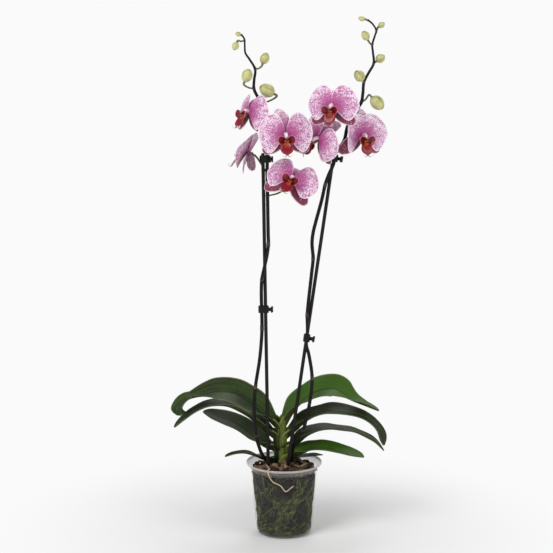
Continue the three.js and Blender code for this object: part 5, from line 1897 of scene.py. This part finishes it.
@dataclass(frozen=True)
class Studio:
    """The photograph's camera, three soft lights and a pale floor that fades into the background."""

    eye: Point = (-12.08, -2261.6, 771.86)
    pitch: float = 9.025
    focal_px: float = 1470.2
    frame_px: int = 553
    sensor_mm: float = 36.0
    pale: str = "FAFAFA"
    overhead: str = "969696"
    paper: str = "FCFCFC"
    fade_m: tuple[float, float] = (0.08, 0.5)
    floor_z: float = -0.15
    floor_sides: int = 96
    aim: Point = (0.0, 0.0, 420.0)

    def camera(self) -> None:
        """Places the camera."""
        data = bpy.data.cameras.new("camera")
        data.sensor_width = self.sensor_mm
        data.lens = self.sensor_mm * self.focal_px / self.frame_px
        data.clip_end = 100
        made = bpy.data.objects.new("camera", data)
        made.location = Vector(self.eye) * MM
        made.rotation_euler = (math.radians(90 - self.pitch), 0, 0)
        bpy.context.scene.collection.objects.link(made)
        bpy.context.scene.camera = made

    def light(self, name: str, at: Point, size: float, power: float) -> None:
        """Hangs a square softbox that faces the plant.

        Args:
            name: its name.
            at: its place.
            size: the length of its side.
            power: its power in watts.
        """
        data = bpy.data.lights.new(name, "AREA")
        data.size, data.energy = size * MM, power
        made = bpy.data.objects.new(name, data)
        made.location = Vector(at) * MM
        made.rotation_euler = (Vector(self.aim) * MM - made.location).to_track_quat("-Z", "Y").to_euler()
        bpy.context.scene.collection.objects.link(made)

    def floor(self) -> None:
        """Lays a round floor, whose shade turns into the background's away from the plant."""
        form = Form()
        rings = [0.001, 300, 800, 1600, 2600, 4000, 9000]
        turn = around(self.floor_sides)
        points = [np.stack([r * np.cos(turn), r * np.sin(turn), 0 * turn + self.floor_z], -1) for r in rings]
        form.add(np.array(points), grid(len(rings), self.floor_sides, wrap=True))
        mesh = bpy.data.meshes.new("floor")
        mesh.from_pydata((np.vstack(form.points) * MM).tolist(), [], form.faces)
        made = bpy.data.objects.new("floor", mesh)
        bpy.context.scene.collection.objects.link(made)
        tree = NodeTree(bpy.data.materials.new("matt white paper"))
        place = tree.add("TexCoord", {}, "Object")
        reach = tree.add("VectorMath", {"operation": "LENGTH", 0: place}, "Value")
        near, far = self.fade_m
        fade = tree.add("MapRange", {**SOFT, "Value": reach, "From Min": near, "From Max": far})
        paper = tree.add("BsdfDiffuse", {"Color": linear(self.paper)})
        glow = tree.add("Emission", {"Color": linear(self.pale)})
        tree.add("OutputMaterial", {"Surface": tree.add("MixShader", {0: fade, 1: paper, 2: glow})})
        mesh.materials.append(tree.owner)

    def build(self) -> None:
        """Sets up the room."""
        tree = NodeTree(bpy.data.worlds.new("studio"))
        height = tree.add("SeparateXYZ", {0: tree.add("TexCoord", {}, "Generated")}, "Z")
        sky = tree.add("ValToRGB", {"stops": [(0.04, self.pale), (0.4, self.overhead)], "Fac": height})
        tree.add("OutputWorld", {"Surface": tree.add("Background", {"Color": sky})})
        bpy.context.scene.world = tree.owner
        bpy.context.scene.view_settings.view_transform = "Standard"
        self.camera()
        self.floor()
        self.light("key", (-1500, -1700, 2300), 1300, 42)
        self.light("fill", (1900, -1300, 1300), 1200, 14)
        self.light("back", (400, 1800, 2200), 1200, 16)


FINISHES = {
    "petal": PetalTissue("white petal with a pink net", "F3E6F0", "C4649F", "BC70A5", "A93F83", "F8F1F6"),
    "petal_back": PetalTissue("back of a petal", "E8D6E2", "C480AD", "BF83AB", "A44D88", "F0E6EC",
                              net_width=(0.3, 0.15)),
    "sepal": PetalTissue("top sepal with a pink net", "EBD9E4", "C987B1", "BF84A8", "A34F87", "F1E6EE"),
    "sepal_low": PetalTissue("low sepal with crimson spots", "C993B0", "7E2947", "7C2846", "520B24", "E6CFDB",
                             mesh_mm=(3.4, 2.6), net_width=(0.6, 0.34)),
    "sepal_low_back": PetalTissue("back of a low sepal", "B794A6", "86506C", "784562", "5F2741", "D4BECA"),
    "lip": LipTissue("waxy crimson lip", "A8112C", "4E0414", "C0661C"),
    "lip_back": LipTissue("back of the lip", "A65A80", "7C2A50", "A65A80"),
    "column": ColumnTissue("white column", "F3DDE6", "B04684"),
    # In the leaf finishes, the fourth colour is the pale line along the edges, a painted highlight.
    "leaf": LeafTissue("waxy leaf", "0D1307", "33421F", "3E6119", "8E9A78", 0.48, 0.32),
    "leaf_back": LeafTissue("underside of a leaf", "151A0B", "3D4626", "4A5628", "8A9070", 0.62, 0.2),
    "sheath": LeafTissue("clasping leaf base", "141A08", "3F4C1E", "76843A", "9AA66A", 0.5, 0.2),
    "spike": StemTissue("purple-brown spike", "080505", "201612", 0.5, gloss=0.25),
    "stalk": StemTissue("green flower stalk", "3E3E20", "80864A", patch_mm=9.0),
    "bract": StemTissue("dry papery bract", "2C201A", "6A5042", 0.65, 5.0),
    "bud": BudTissue("waxy green bud", "C6C587", "6E6F40", "84584F"),
    "stake": MouldedPlastic("black coated stake", "0D0A08", "1C1815", 0.45),
    "clip": MouldedPlastic("black polypropylene clip", "060607", "141415", 0.35),
    "pot": ClearPlastic("clear polypropylene", "6E6C69", "C6C2BC", 0.05, 0.66),
    "root": StemTissue("green root skin", "1E280F", "56633A", 0.6, 6.0, 0.4, dry="9A7450"),
    "aerial_root": StemTissue("dry silver root skin", "A89372", "DCCFB6", 0.7, 5.0, 0.4),
    "bark": PottedChips("damp pine bark", "120C08", "86664B"),
    "moss": StemTissue("bog moss", "161F08", "808A48", 0.8, 3.0),
}


@cache
def material(key: str) -> bpy.types.Material:
    """Returns the finish of that key as a material, built when a piece first asks for it."""
    return FINISHES[key].build()


def main() -> None:
    """Builds the whole plant in its pot, and the room round it."""
    logging.basicConfig(level=logging.INFO, format="%(name)s %(message)s")
    Studio().build()
    POT.build()
    BarkMix().build()
    RootBall().build()
    CROWN.build()
    for leaf in LEAVES:
        leaf.build()
    for stake in (LEFT_STAKE, RIGHT_STAKE):
        stake.build()
    for clip in CLIPS:
        clip.build()
    for spike in SPIKES:
        spike.build()
    for k, (name, seat) in enumerate(SEATS.items()):
        Bloom(name, seat, 1.7 * k).build()
    for bud in BUDS:
        bud.build()


if __name__ == "__main__":
    main()
